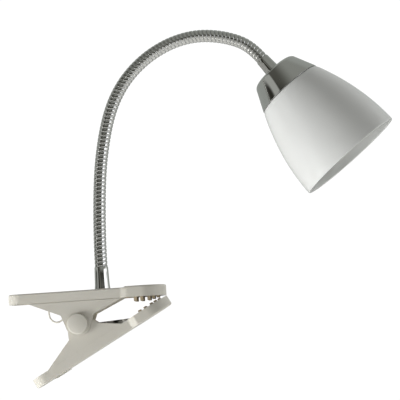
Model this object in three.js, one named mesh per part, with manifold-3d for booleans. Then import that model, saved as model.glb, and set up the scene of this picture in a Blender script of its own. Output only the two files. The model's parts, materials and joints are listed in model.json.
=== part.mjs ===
// Clip-on reading lamp: a sprung plastic clip, a flexible metal neck and a shaded lamp head.
// Units are millimetres, +Z is up and +X points out of the clip's mouth. The clip's upper jaw is level.
// The origin is the middle of the upper jaw's grip face, where the top of a shelf bears.
import * as THREE from "three";
import { mergeVertices } from "three/addons/utils/BufferGeometryUtils.js";
import Module from "manifold-3d";

const wasm = await Module();
wasm.setup();

// ---------------------------------------------------------------- driving dimensions

const GAP = 0.3; // between pieces that rest on each other
const OVERLAP = 0.5; // how far a body reaches into the one it is joined to
const RUNNING = 0.5; // side clearance between the two jaws' cheeks

// Both jaws share a side profile: a runs along the jaw from the pivot, h from the pivot to the plate.
const PLATE_H = 25.7; // pivot axis to the plate's outer face
const PLATE_T = 2.2;
const RIM_DEPTH = 7.8; // the rim that runs round the plate, measured from its outer face
const WALL = 2.0;
const EDGE_R = 1.2; // rounding of the plate's outer edge
const HANDLE_LENGTH = 53.5; // pivot to handle end
const NOSE_LENGTH = 69.5; // pivot to nose tip
const HANDLE_CORNER_R = 10;
const FLARE_START = NOSE_LENGTH - 36.5;
const FLARE_LENGTH = 7;
const NOSE_ROUND_START = NOSE_LENGTH - 19.5;
const NOSE_HALF_W = 21.5;
const NOSE_RAISE = 0.8; // the upper nose stands this far above the plate
const CHEEK_T = 2.2;
const CHEEK_FRONT = NOSE_LENGTH - 33.5; // where the cheek's edge meets the rim, ahead of the pivot
const CHEEK_REAR = 38.5; // and behind it
const CHEEK_WAIST = 12.8; // half length of the cheek where it turns down to the pivot
const CHEEK_WAIST_H = 7;
const CHEEK_ROUND_R = 9.6; // round end about the pivot
const LOWER_HALF_W = 16.4; // half width of the lower jaw's body
const LOWER_CHEEK_STEP = 0.2; // the cheek's face lies this far inside the rim's face
const UPPER_CHEEK_STEP = 0.3;

const PIN_R = 2.0;
const PIN_CLEARANCE = 0.3;
const CAP_R = 8.0;
const CAP_T = 3.8;
const CAP_EDGE_R = 1.4;
const CAP_EDGE_SWEEP = 70; // degrees of rounding before the crown starts
const CAP_CROWN = 0.3; // the crown's middle stands this far above its edge
const CAP_GRIP = 1.6; // how far the pin's end goes into its cap

const PAD_START = NOSE_LENGTH - 27;
const PAD_BASE_T = 3.6;
const PAD_CLEARANCE = 0.4;
const RIB_W = 2.4;
const RIB_PLACES = [24, 19, 13.5, 10, 6.5].map((setback) => NOSE_LENGTH - setback);
const UPPER_GRIP = 3.3; // how far the upper pad's ribs stand out of the rim
const LOWER_GRIP = 1.4;
const GRIP_RIB = 1; // index of the rib that carries the grip face's middle

const FINGER_RIB_PLACES = 6;
const FINGER_RIB_PITCH = 2.2;
const FINGER_RIB_END = 37.3; // last rib, measured from the pivot along the handle
const FINGER_RIB_HALF_LENGTH = 12.5;
const FINGER_RIB_SIZE = 1.1;
const FINGER_RIB_PROUD = 0.8;
const STIFFENER_T = 1.4;
const STIFFENER_DEPTH = 3.2;
const STIFFENER_PLACES = [-46.5, -36];

const SPRING_WIRE_R = 0.7;
const SPRING_COIL_R = 5.4;
const SPRING_TURNS = 5;
const SPRING_PITCH = 1.85;

const NECK_X = 19.4; // pivot to the neck's foot, along the upper jaw
const NECK_R = 5.0;
const NECK_BORE_R = 2.9;
const LINK_PITCH = 23.3;
// In-plane bend at each pivot of the neck as it is set, in degrees, from the foot up.
const NECK_BENDS = [2, 1.5, 2.5, 5, 6, 13, 15.5, 15, 16.5, 20, 17.5, 28.3];
const HEAD_TURN = 3.8; // the last pivot also turns the head this many degrees towards -Y
const BALL_R = 4.1;
const BALL_MOUTH_ANGLE = 34; // the ball is cut off this far above its middle, in degrees
const SOCKET_R = BALL_R + GAP;
const SOCKET_RIM_Z = 0.5;
const BALL_NECK_Z = 2.0;
const BALL_SHOULDER_Z = 3.4;
const SPIGOT_R = 4.2;
const SPIGOT_LENGTH = 7;
const FLEX_R = 1.1;
const FLEX_STEPS = 90;

const FERRULE_THIN_R = 5.4;
const BASE_FERRULE_R = 6.2;
const BASE_FERRULE_LENGTH = 17.6;
const TOP_FERRULE_R = 6.3;
const TOP_FERRULE_LENGTH = 13.9;
const STUD_R = 4.9;
const STUD_BORE_R = 3.2;
const STUD_ENTRY = 6; // how far a stud goes into its ferrule
const STUD_BELOW = 10.4; // base stud below the plate's outer face
const STUD_HOLE_CLEARANCE = 0.3;
const BOSS_T = 1.2;
const BOSS_R = 10;
const WASHER_R = 9;
const WASHER_T = 1;
const NUT_FLATS = 14;
const NUT_T = 4;
const BUSH_FLANGE_R = 4.7;
const BUSH_FLANGE_T = 1.8;
const BUSH_SLEEVE_LENGTH = 5;
const BUSH_EDGE = 0.6;

// The head is built along its own +Z, w, from the thin end of the top ferrule to the shade's mouth.
const CAP_TOP_W = TOP_FERRULE_LENGTH;
const CAP_WALL = 1.0;
const CAP_SHOULDER_R = 17.5;
const CAP_SHOULDER_DROP = 1.7;
const CAP_CORNER_R = 20.9;
const CAP_CORNER_DROP = 4.4;
const CAP_BEVEL_R = 1.4; // the bevel above the corner, across
const CAP_BEVEL_DROP = 1.6; // and down
const CAP_LIP_R = 27.9;
const CAP_LIP_W = 34;
const HEAD_STUD_END_W = 24;
const SHADE_WALL = 1.6;
const SHADE_SHOULDER_R = 28;
const SHADE_MOUTH_R = 43.9;
const SHADE_MOUTH_W = 106.3;
const SHADE_BULGE = 3.9; // how far the side bows out of the straight line from shoulder to mouth
const SHADE_NECK_R = 24.8;
const SHADE_FLANGE_W = 31;
const SHADE_HOLE_CLEARANCE = 0.5;

const HOLDER_R = 13.8;
const HOLDER_TOP_W = 19.6;
const HOLDER_TOP_R = 10.5;
const HOLDER_SHOULDER_DROP = 3;
const HOLDER_SPLIT_W = 29;
const HOLDER_WALL = 1.8;
const HUB_WALL = 2;
const HUB_LENGTH = 4.6;
const RECESS_DEPTH = 1.8; // the skirt's top, over the terminals
const RECESS_WALL = 2.2;
const HOLDER_COLLAR_R = 16.5;
const HOLDER_COLLAR_T = 1.4;
const HOLDER_FLOOR_W = 34.4;
const HOLDER_BORE_R = 8.3;
const HOLDER_END_W = 59;
const RING_R = 19.5;
const RING_T = 6;
const RING_FLANGE_T = 1.6;
const RING_HUB_R = 16.9;
const RING_NOTCHES = 8;
const RING_NOTCH_R = 1.3;
const CONTACT_T = 0.6;
const CONTACT_HALF_W = 1.5;
const CONTACT_GAP = 0.1; // the tongue lies this close to the floor
const TONGUE_BACK = 5;
const TONGUE_FRONT = 2.5;
const STRIP_GAP = 0.35; // between the side strip and the bore's wall
const STRIP_START = 4; // from the floor
const STRIP_END = 5; // from the mouth
const TERMINAL_X = 6.2;
const TERMINAL_HEAD_R = 2.3;
const TERMINAL_HEAD_T = 1.6;
const TERMINAL_GAP = 0.2; // under the head
const SLOT_HALF_W = 0.35;
const SLOT_DEPTH = 0.7;

const BULB_TIP_R = 2.6;
const BULB_TIP_T = 0.9;
const BULB_INSULATOR_T = 2.2;
const BULB_GAP = GAP / 3; // between the bulb's own pieces
const BULB_SHELL_R = 6.9;
const BULB_THREAD_DEPTH = 0.6;
const BULB_THREAD_PITCH = 2.82;
const BULB_THREADS = 5;
const BULB_SHELL_LENGTH = 17;
const BULB_THREAD_START = 0.6;
const BULB_COLLAR_R = 7.7;
const BULB_BODY_LENGTH = 31;
const BULB_R = 19.5;
const BULB_LENS_DOME = 5;

// ---------------------------------------------------------------- derived values

const RIM_H = PLATE_H - RIM_DEPTH;
const UNDERSIDE_H = PLATE_H - PLATE_T;
const UPPER_HALF_W =
  LOWER_HALF_W - LOWER_CHEEK_STEP + RUNNING + CHEEK_T + UPPER_CHEEK_STEP;
const UPPER_CHEEK_OUT = UPPER_HALF_W - UPPER_CHEEK_STEP;
const LOWER_CHEEK_OUT = LOWER_HALF_W - LOWER_CHEEK_STEP;
// The noses touch at their tips when the clip is shut.
const HALF_ANGLE = Math.atan2(RIM_H - GAP / 2, NOSE_LENGTH);
const GRIP_H = RIM_H - UPPER_GRIP;
const GRIP_A = RIB_PLACES[GRIP_RIB];
const RIB_CLOSED_GAP = 0.25; // of each rib from the plane midway between the shut jaws
const STUD_HOLE_R = STUD_R + STUD_HOLE_CLEARANCE;

// ---------------------------------------------------------------- shaping helpers

// A closed three.js geometry as a solid that can be joined and cut.
function solid(geometry) {
  const plain = geometry.index ? geometry.toNonIndexed() : geometry.clone();
  for (const name of Object.keys(plain.attributes)) {
    if (name !== "position") plain.deleteAttribute(name);
  }
  const merged = mergeVertices(plain, 1e-3);
  const corners = merged.index.array;
  const triangles = [];
  for (let i = 0; i < corners.length; i += 3) {
    const [p, q, r] = corners.subarray(i, i + 3);
    // Merging leaves slivers with two equal corners.
    if (p !== q && q !== r && r !== p) triangles.push(p, q, r);
  }
  return new wasm.Manifold(
    new wasm.Mesh({
      numProp: 3,
      vertProperties: merged.attributes.position.array,
      triVerts: new Uint32Array(triangles),
    }),
  );
}

function geometryOf(manifold) {
  const made = manifold.getMesh();
  const positions = new Float32Array(made.numVert * 3);
  for (let i = 0; i < made.numVert; i++) {
    const first = i * made.numProp;
    positions.set(made.vertProperties.subarray(first, first + 3), i * 3);
  }
  return new THREE.BufferGeometry()
    .setAttribute("position", new THREE.BufferAttribute(positions, 3))
    .setIndex(new THREE.BufferAttribute(made.triVerts, 1));
}

function piece(name, shape, material) {
  const geometry = shape.isBufferGeometry ? shape : geometryOf(shape);
  const mesh = new THREE.Mesh(geometry, material);
  mesh.name = name;
  return mesh;
}

// A box between two corners.
function box(low, high) {
  const size = high.map((v, i) => v - low[i]);
  return new THREE.BoxGeometry(...size).translate(
    ...low.map((v, i) => v + size[i] / 2),
  );
}

// Steps per curve of an outline. An odd number keeps three points of a flare's bend off one line.
const CURVE_STEPS = 7;

// A flat outline raised along +Z from one height to another.
function prism(shape, low, high, curveSegments = CURVE_STEPS) {
  return new THREE.ExtrudeGeometry(shape, {
    depth: high - low,
    bevelEnabled: false,
    curveSegments,
  }).translate(0, 0, low);
}

// A profile of [radius, z] points turned about Z. It starts and ends on the axis, or closes on itself.
function turned(profile, sides = 24) {
  const onAxis = profile[0][0] === 0;
  const points = profile.map(([r, z]) => new THREE.Vector2(r, z));
  if (!onAxis) points.push(points[0].clone());
  let twiceArea = 0;
  points.forEach((p, i) => {
    const q = points[(i + 1) % points.length];
    twiceArea += p.x * q.y - q.x * p.y;
  });
  if (twiceArea < 0) points.reverse();
  return new THREE.LatheGeometry(points, sides).rotateX(Math.PI / 2);
}

// Points [radius, z] on a circle about (0, z0), from one angle to another, in degrees from the
// radial direction.
function arc(radius, z0, from, to, steps) {
  return Array.from({ length: steps + 1 }, (_, i) => {
    const angle = THREE.MathUtils.degToRad(from + ((to - from) * i) / steps);
    return [radius * Math.cos(angle), z0 + radius * Math.sin(angle)];
  });
}

function cylinder(radius, low, high, sides = 24) {
  return turned(
    [
      [0, low],
      [radius, low],
      [radius, high],
      [0, high],
    ],
    sides,
  );
}

function roundSection(radius, sides) {
  const points = Array.from({ length: sides }, (_, i) => {
    const angle = (2 * Math.PI * i) / sides;
    return new THREE.Vector2(
      radius * Math.cos(angle),
      radius * Math.sin(angle),
    );
  });
  return new THREE.Shape(points);
}

// A round bar along a curve.
function bar(curve, radius, sides, steps) {
  return new THREE.ExtrudeGeometry(roundSection(radius, sides), {
    extrudePath: curve,
    steps,
    bevelEnabled: false,
  });
}

function group(...children) {
  return new THREE.Group().add(...children);
}

const radians = THREE.MathUtils.degToRad;

// ---------------------------------------------------------------- materials

function finish(color, roughness, metalness) {
  return new THREE.MeshStandardMaterial({ color, roughness, metalness });
}

const ivoryPlastic = finish(0xd9d6cb, 0.42, 0);
const padRubber = finish(0xcfc9ba, 0.7, 0);
const springWire = finish(0xc4c5c3, 0.28, 1);
const chrome = finish(0xc9cac8, 0.08, 1);
const zincSteel = finish(0xb4b6b8, 0.35, 1);
const shadeWhite = finish(0xeef0ee, 0.15, 0);
const holderPlastic = finish(0xefeee8, 0.5, 0);
const brass = finish(0xc2a050, 0.3, 1);
const bulbPlastic = finish(0xf2f2ee, 0.4, 0);
const bulbOpal = finish(0xfbfaf4, 0.3, 0);
const flexBlack = finish(0x1d1d1f, 0.55, 0);

// ---------------------------------------------------------------- clip jaws

// Outline of a jaw seen square to its plate, drawn in by an inset.
function jawPlan(halfBody, inset = 0) {
  const body = halfBody - inset;
  const nose = NOSE_HALF_W - inset;
  const rear = -HANDLE_LENGTH + inset;
  const corner = HANDLE_CORNER_R - inset;
  const shape = new THREE.Shape();
  shape.moveTo(rear, -(body - corner));
  shape.absarc(
    rear + corner,
    -(body - corner),
    corner,
    Math.PI,
    1.5 * Math.PI,
    false,
  );
  shape.lineTo(FLARE_START, -body);
  shape.bezierCurveTo(
    FLARE_START + FLARE_LENGTH / 2,
    -body,
    FLARE_START + FLARE_LENGTH / 2,
    -nose,
    FLARE_START + FLARE_LENGTH,
    -nose,
  );
  shape.lineTo(NOSE_ROUND_START, -nose);
  shape.absellipse(
    NOSE_ROUND_START,
    0,
    NOSE_LENGTH - inset - NOSE_ROUND_START,
    nose,
    -Math.PI / 2,
    Math.PI / 2,
    false,
  );
  shape.lineTo(FLARE_START + FLARE_LENGTH, nose);
  shape.bezierCurveTo(
    FLARE_START + FLARE_LENGTH / 2,
    nose,
    FLARE_START + FLARE_LENGTH / 2,
    body,
    FLARE_START,
    body,
  );
  shape.lineTo(rear + corner, body);
  shape.absarc(
    rear + corner,
    body - corner,
    corner,
    Math.PI / 2,
    Math.PI,
    false,
  );
  return shape;
}

// A plan raised from the rim's edge to a height, with its top edge rounded.
function roundedBlock(plan, top) {
  const corners = plan.getPoints(CURVE_STEPS);
  const distinct = corners.filter((p, i) => p.distanceTo(corners.at(i - 1)) > 1e-3);
  const raised = new THREE.ExtrudeGeometry(new THREE.Shape(distinct), {
    depth: top - RIM_H,
    bevelThickness: EDGE_R,
    bevelSize: EDGE_R,
    bevelOffset: -EDGE_R,
    bevelSegments: 2,
  }).translate(0, 0, RIM_H - EDGE_R);
  const far = 2 * NOSE_LENGTH;
  return solid(raised).subtract(
    solid(box([-far, -far, RIM_H - far], [far, far, RIM_H])),
  );
}

// One cheek's side outline, in the plane of a and h, reaching up into the plate.
function cheekShape(roundR) {
  const top = UNDERSIDE_H + PLATE_T / 2;
  const shape = new THREE.Shape();
  shape.moveTo(-CHEEK_REAR, top);
  shape.lineTo(-CHEEK_REAR, RIM_H);
  shape.lineTo(-CHEEK_WAIST, CHEEK_WAIST_H);
  // The edge runs from the waist to touch the round end.
  const reach = Math.hypot(CHEEK_WAIST, CHEEK_WAIST_H);
  const waistAngle = Math.atan2(CHEEK_WAIST_H, CHEEK_WAIST);
  const touch = waistAngle - Math.acos(roundR / reach);
  shape.absarc(0, 0, roundR, Math.PI - touch, touch, false);
  shape.lineTo(CHEEK_WAIST, CHEEK_WAIST_H);
  shape.lineTo(CHEEK_FRONT, RIM_H);
  shape.lineTo(CHEEK_FRONT, top);
  return shape;
}

// A jaw with its plate up: plate, rim, two cheeks with pin holes, and stiffeners across the handle.
function jaw(halfBody, cheekOut, roundR, top = PLATE_H) {
  let made = roundedBlock(jawPlan(halfBody), PLATE_H);
  if (top > PLATE_H) {
    const nose = solid(
      box([FLARE_START + FLARE_LENGTH, -halfBody * 2, 0], [NOSE_LENGTH, halfBody * 2, top]),
    );
    made = made.add(roundedBlock(jawPlan(halfBody), top).intersect(nose));
  }
  const pocket = prism(jawPlan(halfBody, WALL), RIM_H - 1, UNDERSIDE_H);
  made = made.subtract(solid(pocket));
  for (const place of STIFFENER_PLACES) {
    const half = halfBody - WALL / 2;
    const low = UNDERSIDE_H - STIFFENER_DEPTH;
    made = made.add(
      solid(box([place, -half, low], [place + STIFFENER_T, half, UNDERSIDE_H + OVERLAP])),
    );
  }
  for (const inner of [cheekOut - CHEEK_T, -cheekOut]) {
    // The outline is drawn in X and Y, then stood up so that its Y becomes Z.
    const cheek = prism(cheekShape(roundR), 0, CHEEK_T, 16)
      .rotateX(Math.PI / 2)
      .translate(0, inner + CHEEK_T, 0);
    made = made.add(solid(cheek));
  }
  const hole = cylinder(PIN_R + PIN_CLEARANCE, -halfBody * 2, halfBody * 2);
  return made.subtract(solid(hole.rotateX(Math.PI / 2)));
}

function upperJaw() {
  const boss = cylinder(BOSS_R, UNDERSIDE_H - BOSS_T, UNDERSIDE_H + OVERLAP, 32);
  const hole = cylinder(STUD_HOLE_R, 0, PLATE_H + NOSE_RAISE + 1);
  return jaw(UPPER_HALF_W, UPPER_CHEEK_OUT, CHEEK_ROUND_R, PLATE_H + NOSE_RAISE)
    .add(solid(boss.translate(NECK_X, 0, 0)))
    .subtract(solid(hole.translate(NECK_X, 0, 0)));
}

function lowerJaw() {
  let made = jaw(LOWER_HALF_W, LOWER_CHEEK_OUT, CHEEK_ROUND_R - 1);
  for (let i = 0; i < FINGER_RIB_PLACES; i++) {
    const a = -FINGER_RIB_END + i * FINGER_RIB_PITCH;
    const y = FINGER_RIB_HALF_LENGTH;
    const rib = box(
      [a, -y, PLATE_H - OVERLAP],
      [a + FINGER_RIB_SIZE, y, PLATE_H + FINGER_RIB_PROUD],
    );
    made = made.add(solid(rib));
  }
  return made;
}

// A ribbed pad that fills the nose's pocket, plate side up. grip is how far its ribs stand out of
// the rim.
function pad(halfBody, grip) {
  const top = UNDERSIDE_H - GAP;
  const middle = Math.tan(HALF_ANGLE);
  const wide = NOSE_HALF_W;
  let made = solid(
    box([PAD_START, -wide, top - PAD_BASE_T], [NOSE_LENGTH, wide, top]),
  );
  for (const place of RIB_PLACES) {
    const shut = (place + RIB_W / 2) * middle + RIB_CLOSED_GAP;
    const tip = Math.max(RIM_H - grip, shut);
    const half = RIB_W / 2;
    made = made.add(
      solid(box([place - half, -wide, tip], [place + half, wide, top - 1])),
    );
  }
  const inside = prism(jawPlan(halfBody, WALL + PAD_CLEARANCE), 0, PLATE_H);
  return made.intersect(solid(inside));
}

// ---------------------------------------------------------------- clip pivot and spring

function pivotPin() {
  const end = UPPER_CHEEK_OUT + GAP + CAP_GRIP;
  return cylinder(PIN_R, -end, end, 20).rotateX(Math.PI / 2);
}

// A button with a blind hole for the pin, its face towards +Z and its back at z = 0.
function pivotCap() {
  const hole = PIN_R + PIN_CLEARANCE;
  const edge = arc(CAP_EDGE_R, CAP_T - CAP_EDGE_R, 0, CAP_EDGE_SWEEP, 3);
  const rounded = edge.map(([r, z]) => [CAP_R - CAP_EDGE_R + r, z]);
  return turned(
    [
      [0, CAP_GRIP + GAP],
      [hole, CAP_GRIP + GAP],
      [hole, 0],
      [CAP_R, 0],
      ...rounded,
      [0, CAP_T + CAP_CROWN],
    ],
    28,
  );
}

// A torsion spring about the pin. One leg bows down behind the upper cheek, then rises to a foot under
// the upper plate. The other runs straight to a foot inside the lower plate.
function torsionSpring() {
  const foot = UNDERSIDE_H - SPRING_WIRE_R - GAP;
  const start = Math.PI / 2;
  const sweep = 2 * Math.PI * SPRING_TURNS + Math.PI - 2 * HALF_ANGLE;
  const width = (sweep / (2 * Math.PI)) * SPRING_PITCH;
  const points = [];
  const upperLeg = [
    [-31, foot],
    [-26.5, foot - 0.1],
    [-24.4, 20],
    [-23.9, 14.5],
    [-23.1, 8.4],
    [-20.6, 3.4],
    [-17.2, 1.8],
    [-14.2, 3],
    [-11, 4.9],
    [-6, SPRING_COIL_R + 0.2],
  ];
  for (const [a, h] of upperLeg) points.push([a, -width / 2, h]);
  const steps = Math.ceil(sweep / (Math.PI / 7));
  for (let i = 0; i <= steps; i++) {
    const wound = (sweep * i) / steps;
    const angle = start - wound;
    points.push([
      SPRING_COIL_R * Math.cos(angle),
      -width / 2 + (wound / (2 * Math.PI)) * SPRING_PITCH,
      SPRING_COIL_R * Math.sin(angle),
    ]);
  }
  const lowerLeg = [
    [-7, SPRING_COIL_R + 0.9],
    [-18, 13.5],
    [-26.5, foot - 1.5],
    [-29.5, foot],
    [-34.4, foot],
  ];
  const tilt = 2 * HALF_ANGLE;
  for (const [a, h] of lowerLeg) {
    points.push([
      a * Math.cos(tilt) + h * Math.sin(tilt),
      width / 2,
      a * Math.sin(tilt) - h * Math.cos(tilt),
    ]);
  }
  const path = new THREE.CatmullRomCurve3(
    points.map((p) => new THREE.Vector3(...p)),
    false,
    "centripetal",
  );
  return bar(path, SPRING_WIRE_R, 6, 150);
}

// ---------------------------------------------------------------- studs, nuts and ferrules

function hexNut(thickness) {
  const shape = new THREE.Shape(
    Array.from({ length: 6 }, (_, i) => {
      const r = NUT_FLATS / 2 / Math.cos(Math.PI / 6);
      const angle = (Math.PI * i) / 3;
      return new THREE.Vector2(r * Math.cos(angle), r * Math.sin(angle));
    }),
  );
  shape.holes.push(new THREE.Path().absarc(0, 0, STUD_HOLE_R, 0, 2 * Math.PI));
  return prism(shape, 0, thickness, 12);
}

function ringOf(inner, outer, low, high, sides = 24) {
  return turned(
    [
      [inner, low],
      [outer, low],
      [outer, high],
      [inner, high],
    ],
    sides,
  );
}

// A tapered sleeve, thick end at z = 0, that holds the neck at its thin end and a stud at its thick end.
function ferrule(length, thickR) {
  const studBore = STUD_R + GAP;
  const neckBore = SPIGOT_R + GAP;
  const step = STUD_ENTRY + GAP;
  return turned([
    [studBore, 0],
    [thickR, 0],
    [FERRULE_THIN_R, length],
    [neckBore, length],
    [neckBore, step],
    [studBore, step],
  ]);
}

function cordBush() {
  const hole = FLEX_R + GAP;
  const sleeve = STUD_BORE_R - GAP;
  return turned([
    [hole, -BUSH_FLANGE_T],
    [BUSH_FLANGE_R - BUSH_EDGE, -BUSH_FLANGE_T],
    [BUSH_FLANGE_R, -BUSH_FLANGE_T + BUSH_EDGE],
    [BUSH_FLANGE_R, 0],
    [sleeve, 0],
    [sleeve, BUSH_SLEEVE_LENGTH],
    [hole, BUSH_SLEEVE_LENGTH],
  ]);
}

// ---------------------------------------------------------------- neck

// Profile from a link's bore round its ball end to its outside, for a pivot at height z. The bore
// opens out at the ball, clear of the lead where the neck is bent.
function ballEnd(z) {
  const neck = -THREE.MathUtils.radToDeg(Math.asin(BALL_NECK_Z / BALL_R));
  return [
    [NECK_BORE_R, z],
    ...arc(BALL_R, z, BALL_MOUTH_ANGLE, neck, 4),
    [NECK_R, z - BALL_SHOULDER_Z],
  ];
}

// Profile from a link's outside round its socket end to its bore, for a pivot at z = 0.
function socketEnd() {
  const rim = THREE.MathUtils.radToDeg(Math.asin(SOCKET_RIM_Z / SOCKET_R));
  const floor = THREE.MathUtils.radToDeg(Math.acos(NECK_BORE_R / SOCKET_R));
  return [[NECK_R, SOCKET_RIM_Z], ...arc(SOCKET_R, 0, rim, floor, 3)];
}

const LINK_SIDES = 16;

function neckLink() {
  return turned([...socketEnd(), ...ballEnd(LINK_PITCH)], LINK_SIDES);
}

// The neck's foot, from inside the base ferrule to the first pivot. z = 0 is the ferrule's thin end.
function neckFoot() {
  return turned(
    [
      [NECK_BORE_R, -SPIGOT_LENGTH],
      ...ballEnd(LINK_PITCH / 2),
      [NECK_R, GAP],
      [SPIGOT_R, GAP],
      [SPIGOT_R, -SPIGOT_LENGTH],
    ],
    LINK_SIDES,
  );
}

// The neck's head end, from the last pivot to inside the top ferrule.
function neckTop() {
  const end = LINK_PITCH / 2;
  return turned(
    [
      ...socketEnd(),
      [NECK_BORE_R, end + SPIGOT_LENGTH],
      [SPIGOT_R, end + SPIGOT_LENGTH],
      [SPIGOT_R, end - GAP],
      [NECK_R, end - GAP],
    ],
    LINK_SIDES,
  );
}

// ---------------------------------------------------------------- head

// Outer radius of the shade at a height between its shoulder and its mouth.
function shadeRadius(w) {
  const low = CAP_LIP_W + GAP;
  const share = (w - low) / (SHADE_MOUTH_W - low);
  const straight =
    SHADE_SHOULDER_R + (SHADE_MOUTH_R - SHADE_SHOULDER_R) * share;
  return straight + 4 * SHADE_BULGE * share * (1 - share);
}

function shadeGeometry() {
  const low = CAP_LIP_W + GAP;
  const steps = 12;
  const hole = HOLDER_R + SHADE_HOLE_CLEARANCE;
  const wall = SHADE_WALL;
  const side = Array.from({ length: steps + 1 }, (_, i) => {
    const w = low + ((SHADE_MOUTH_W - low) * i) / steps;
    return [shadeRadius(w), w];
  });
  const inside = side.slice(1).map(([r, w]) => [r - wall, w]);
  return turned(
    [
      [hole, SHADE_FLANGE_W],
      [SHADE_NECK_R, SHADE_FLANGE_W],
      [SHADE_NECK_R, low],
      ...side,
      ...inside.reverse(),
      [SHADE_NECK_R - wall, low + wall],
      [SHADE_NECK_R - wall, SHADE_FLANGE_W + wall],
      [hole, SHADE_FLANGE_W + wall],
    ],
    40,
  );
}

function headCap() {
  const wall = CAP_WALL;
  // The shoulder slopes, so its inside lies in and down from its outside.
  const [inward, downward] = [0.9 * wall, 0.6 * wall];
  const outside = [
    [CAP_SHOULDER_R, CAP_TOP_W + CAP_SHOULDER_DROP],
    [CAP_CORNER_R - CAP_BEVEL_R, CAP_TOP_W + CAP_CORNER_DROP - CAP_BEVEL_DROP],
    [CAP_CORNER_R, CAP_TOP_W + CAP_CORNER_DROP],
  ];
  return turned(
    [
      [STUD_HOLE_R, CAP_TOP_W + GAP],
      ...outside,
      [CAP_LIP_R, CAP_LIP_W],
      [CAP_LIP_R - wall, CAP_LIP_W],
      ...outside.map(([r, w]) => [r - inward, w + downward]).reverse(),
      [STUD_HOLE_R, CAP_TOP_W + GAP + wall],
    ],
    36,
  );
}

// The lampholder's screwed-on top, with a threaded hub for the stud.
function holderTop() {
  const end = HOLDER_SPLIT_W;
  const shoulder = HOLDER_TOP_W + HOLDER_SHOULDER_DROP;
  return turned([
    [STUD_HOLE_R, HOLDER_TOP_W],
    [HOLDER_TOP_R, HOLDER_TOP_W],
    [HOLDER_R, shoulder],
    [HOLDER_R, end],
    [HOLDER_R - HOLDER_WALL, end],
    [HOLDER_R - HOLDER_WALL, shoulder + 1.2],
    [STUD_HOLE_R + HUB_WALL, shoulder],
    [STUD_HOLE_R + HUB_WALL, HOLDER_TOP_W + HUB_LENGTH],
    [STUD_HOLE_R, HOLDER_TOP_W + HUB_LENGTH],
  ]);
}

// The lampholder's skirt: a collar over the shade's flange, a floor and the bulb's bore.
function holderSkirt() {
  const low = HOLDER_SPLIT_W + GAP;
  const collar = low + HOLDER_COLLAR_T;
  return turned([
    [0, low + RECESS_DEPTH],
    [HOLDER_R - RECESS_WALL, low + RECESS_DEPTH],
    [HOLDER_R - RECESS_WALL, low],
    [HOLDER_COLLAR_R, low],
    [HOLDER_COLLAR_R, collar],
    [HOLDER_R, collar],
    [HOLDER_R, HOLDER_END_W],
    [HOLDER_BORE_R, HOLDER_END_W],
    [HOLDER_BORE_R, HOLDER_FLOOR_W],
    [0, HOLDER_FLOOR_W],
  ]);
}

// A threaded ring with grip notches that holds the shade up against the holder's collar.
function shadeRing() {
  const low = SHADE_FLANGE_W + SHADE_WALL + GAP;
  const inner = HOLDER_R + GAP;
  let made = solid(
    turned([
      [inner, low],
      [RING_R, low],
      [RING_R, low + RING_FLANGE_T],
      [RING_HUB_R + 0.4, low + RING_FLANGE_T + 0.8],
      [RING_HUB_R, low + RING_T],
      [inner, low + RING_T],
    ]),
  );
  for (let i = 0; i < RING_NOTCHES; i++) {
    const angle = (2 * Math.PI * i) / RING_NOTCHES;
    const notch = cylinder(RING_NOTCH_R, low - 1, low + RING_T + 1, 8).translate(
      RING_R * Math.cos(angle),
      RING_R * Math.sin(angle),
      0,
    );
    made = made.subtract(solid(notch));
  }
  return made;
}

// A sprung tongue on the holder's floor, under the bulb's tip.
function centreContact() {
  const floor = HOLDER_FLOOR_W + CONTACT_GAP;
  return box(
    [-TONGUE_BACK, -CONTACT_HALF_W, floor],
    [TONGUE_FRONT, CONTACT_HALF_W, floor + CONTACT_T],
  );
}

// A strip up the bore's wall that touches the bulb's shell.
function sideContact() {
  const outer = HOLDER_BORE_R - STRIP_GAP;
  return box(
    [outer - CONTACT_T, -CONTACT_HALF_W, HOLDER_FLOOR_W + STRIP_START],
    [outer, CONTACT_HALF_W, HOLDER_END_W - STRIP_END],
  );
}

function terminalScrew() {
  const seat = HOLDER_SPLIT_W + GAP + RECESS_DEPTH - TERMINAL_GAP;
  const face = seat - TERMINAL_HEAD_T;
  const head = cylinder(TERMINAL_HEAD_R, face, seat, 12);
  const slot = box(
    [-TERMINAL_HEAD_R - 1, -SLOT_HALF_W, face - 1],
    [TERMINAL_HEAD_R + 1, SLOT_HALF_W, face + SLOT_DEPTH],
  );
  return solid(head).subtract(solid(slot));
}

// ---------------------------------------------------------------- bulb

const TIP_W = HOLDER_FLOOR_W + CONTACT_GAP + CONTACT_T + GAP;
const INSULATOR_W = TIP_W + BULB_TIP_T;
const SHELL_W = INSULATOR_W + BULB_INSULATOR_T;
const BODY_W = SHELL_W + BULB_SHELL_LENGTH;
const LENS_W = BODY_W + BULB_BODY_LENGTH;

function bulbTip() {
  return turned(
    [
      [0, TIP_W],
      [BULB_TIP_R * 0.7, TIP_W],
      [BULB_TIP_R, TIP_W + 0.4],
      [BULB_TIP_R, INSULATOR_W - BULB_GAP],
      [0, INSULATOR_W - BULB_GAP],
    ],
    16,
  );
}

function bulbInsulator() {
  return turned([
    [0, INSULATOR_W],
    [BULB_TIP_R + 0.4, INSULATOR_W],
    [BULB_SHELL_R - 1.6, SHELL_W - BULB_GAP],
    [0, SHELL_W - BULB_GAP],
  ]);
}

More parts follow.
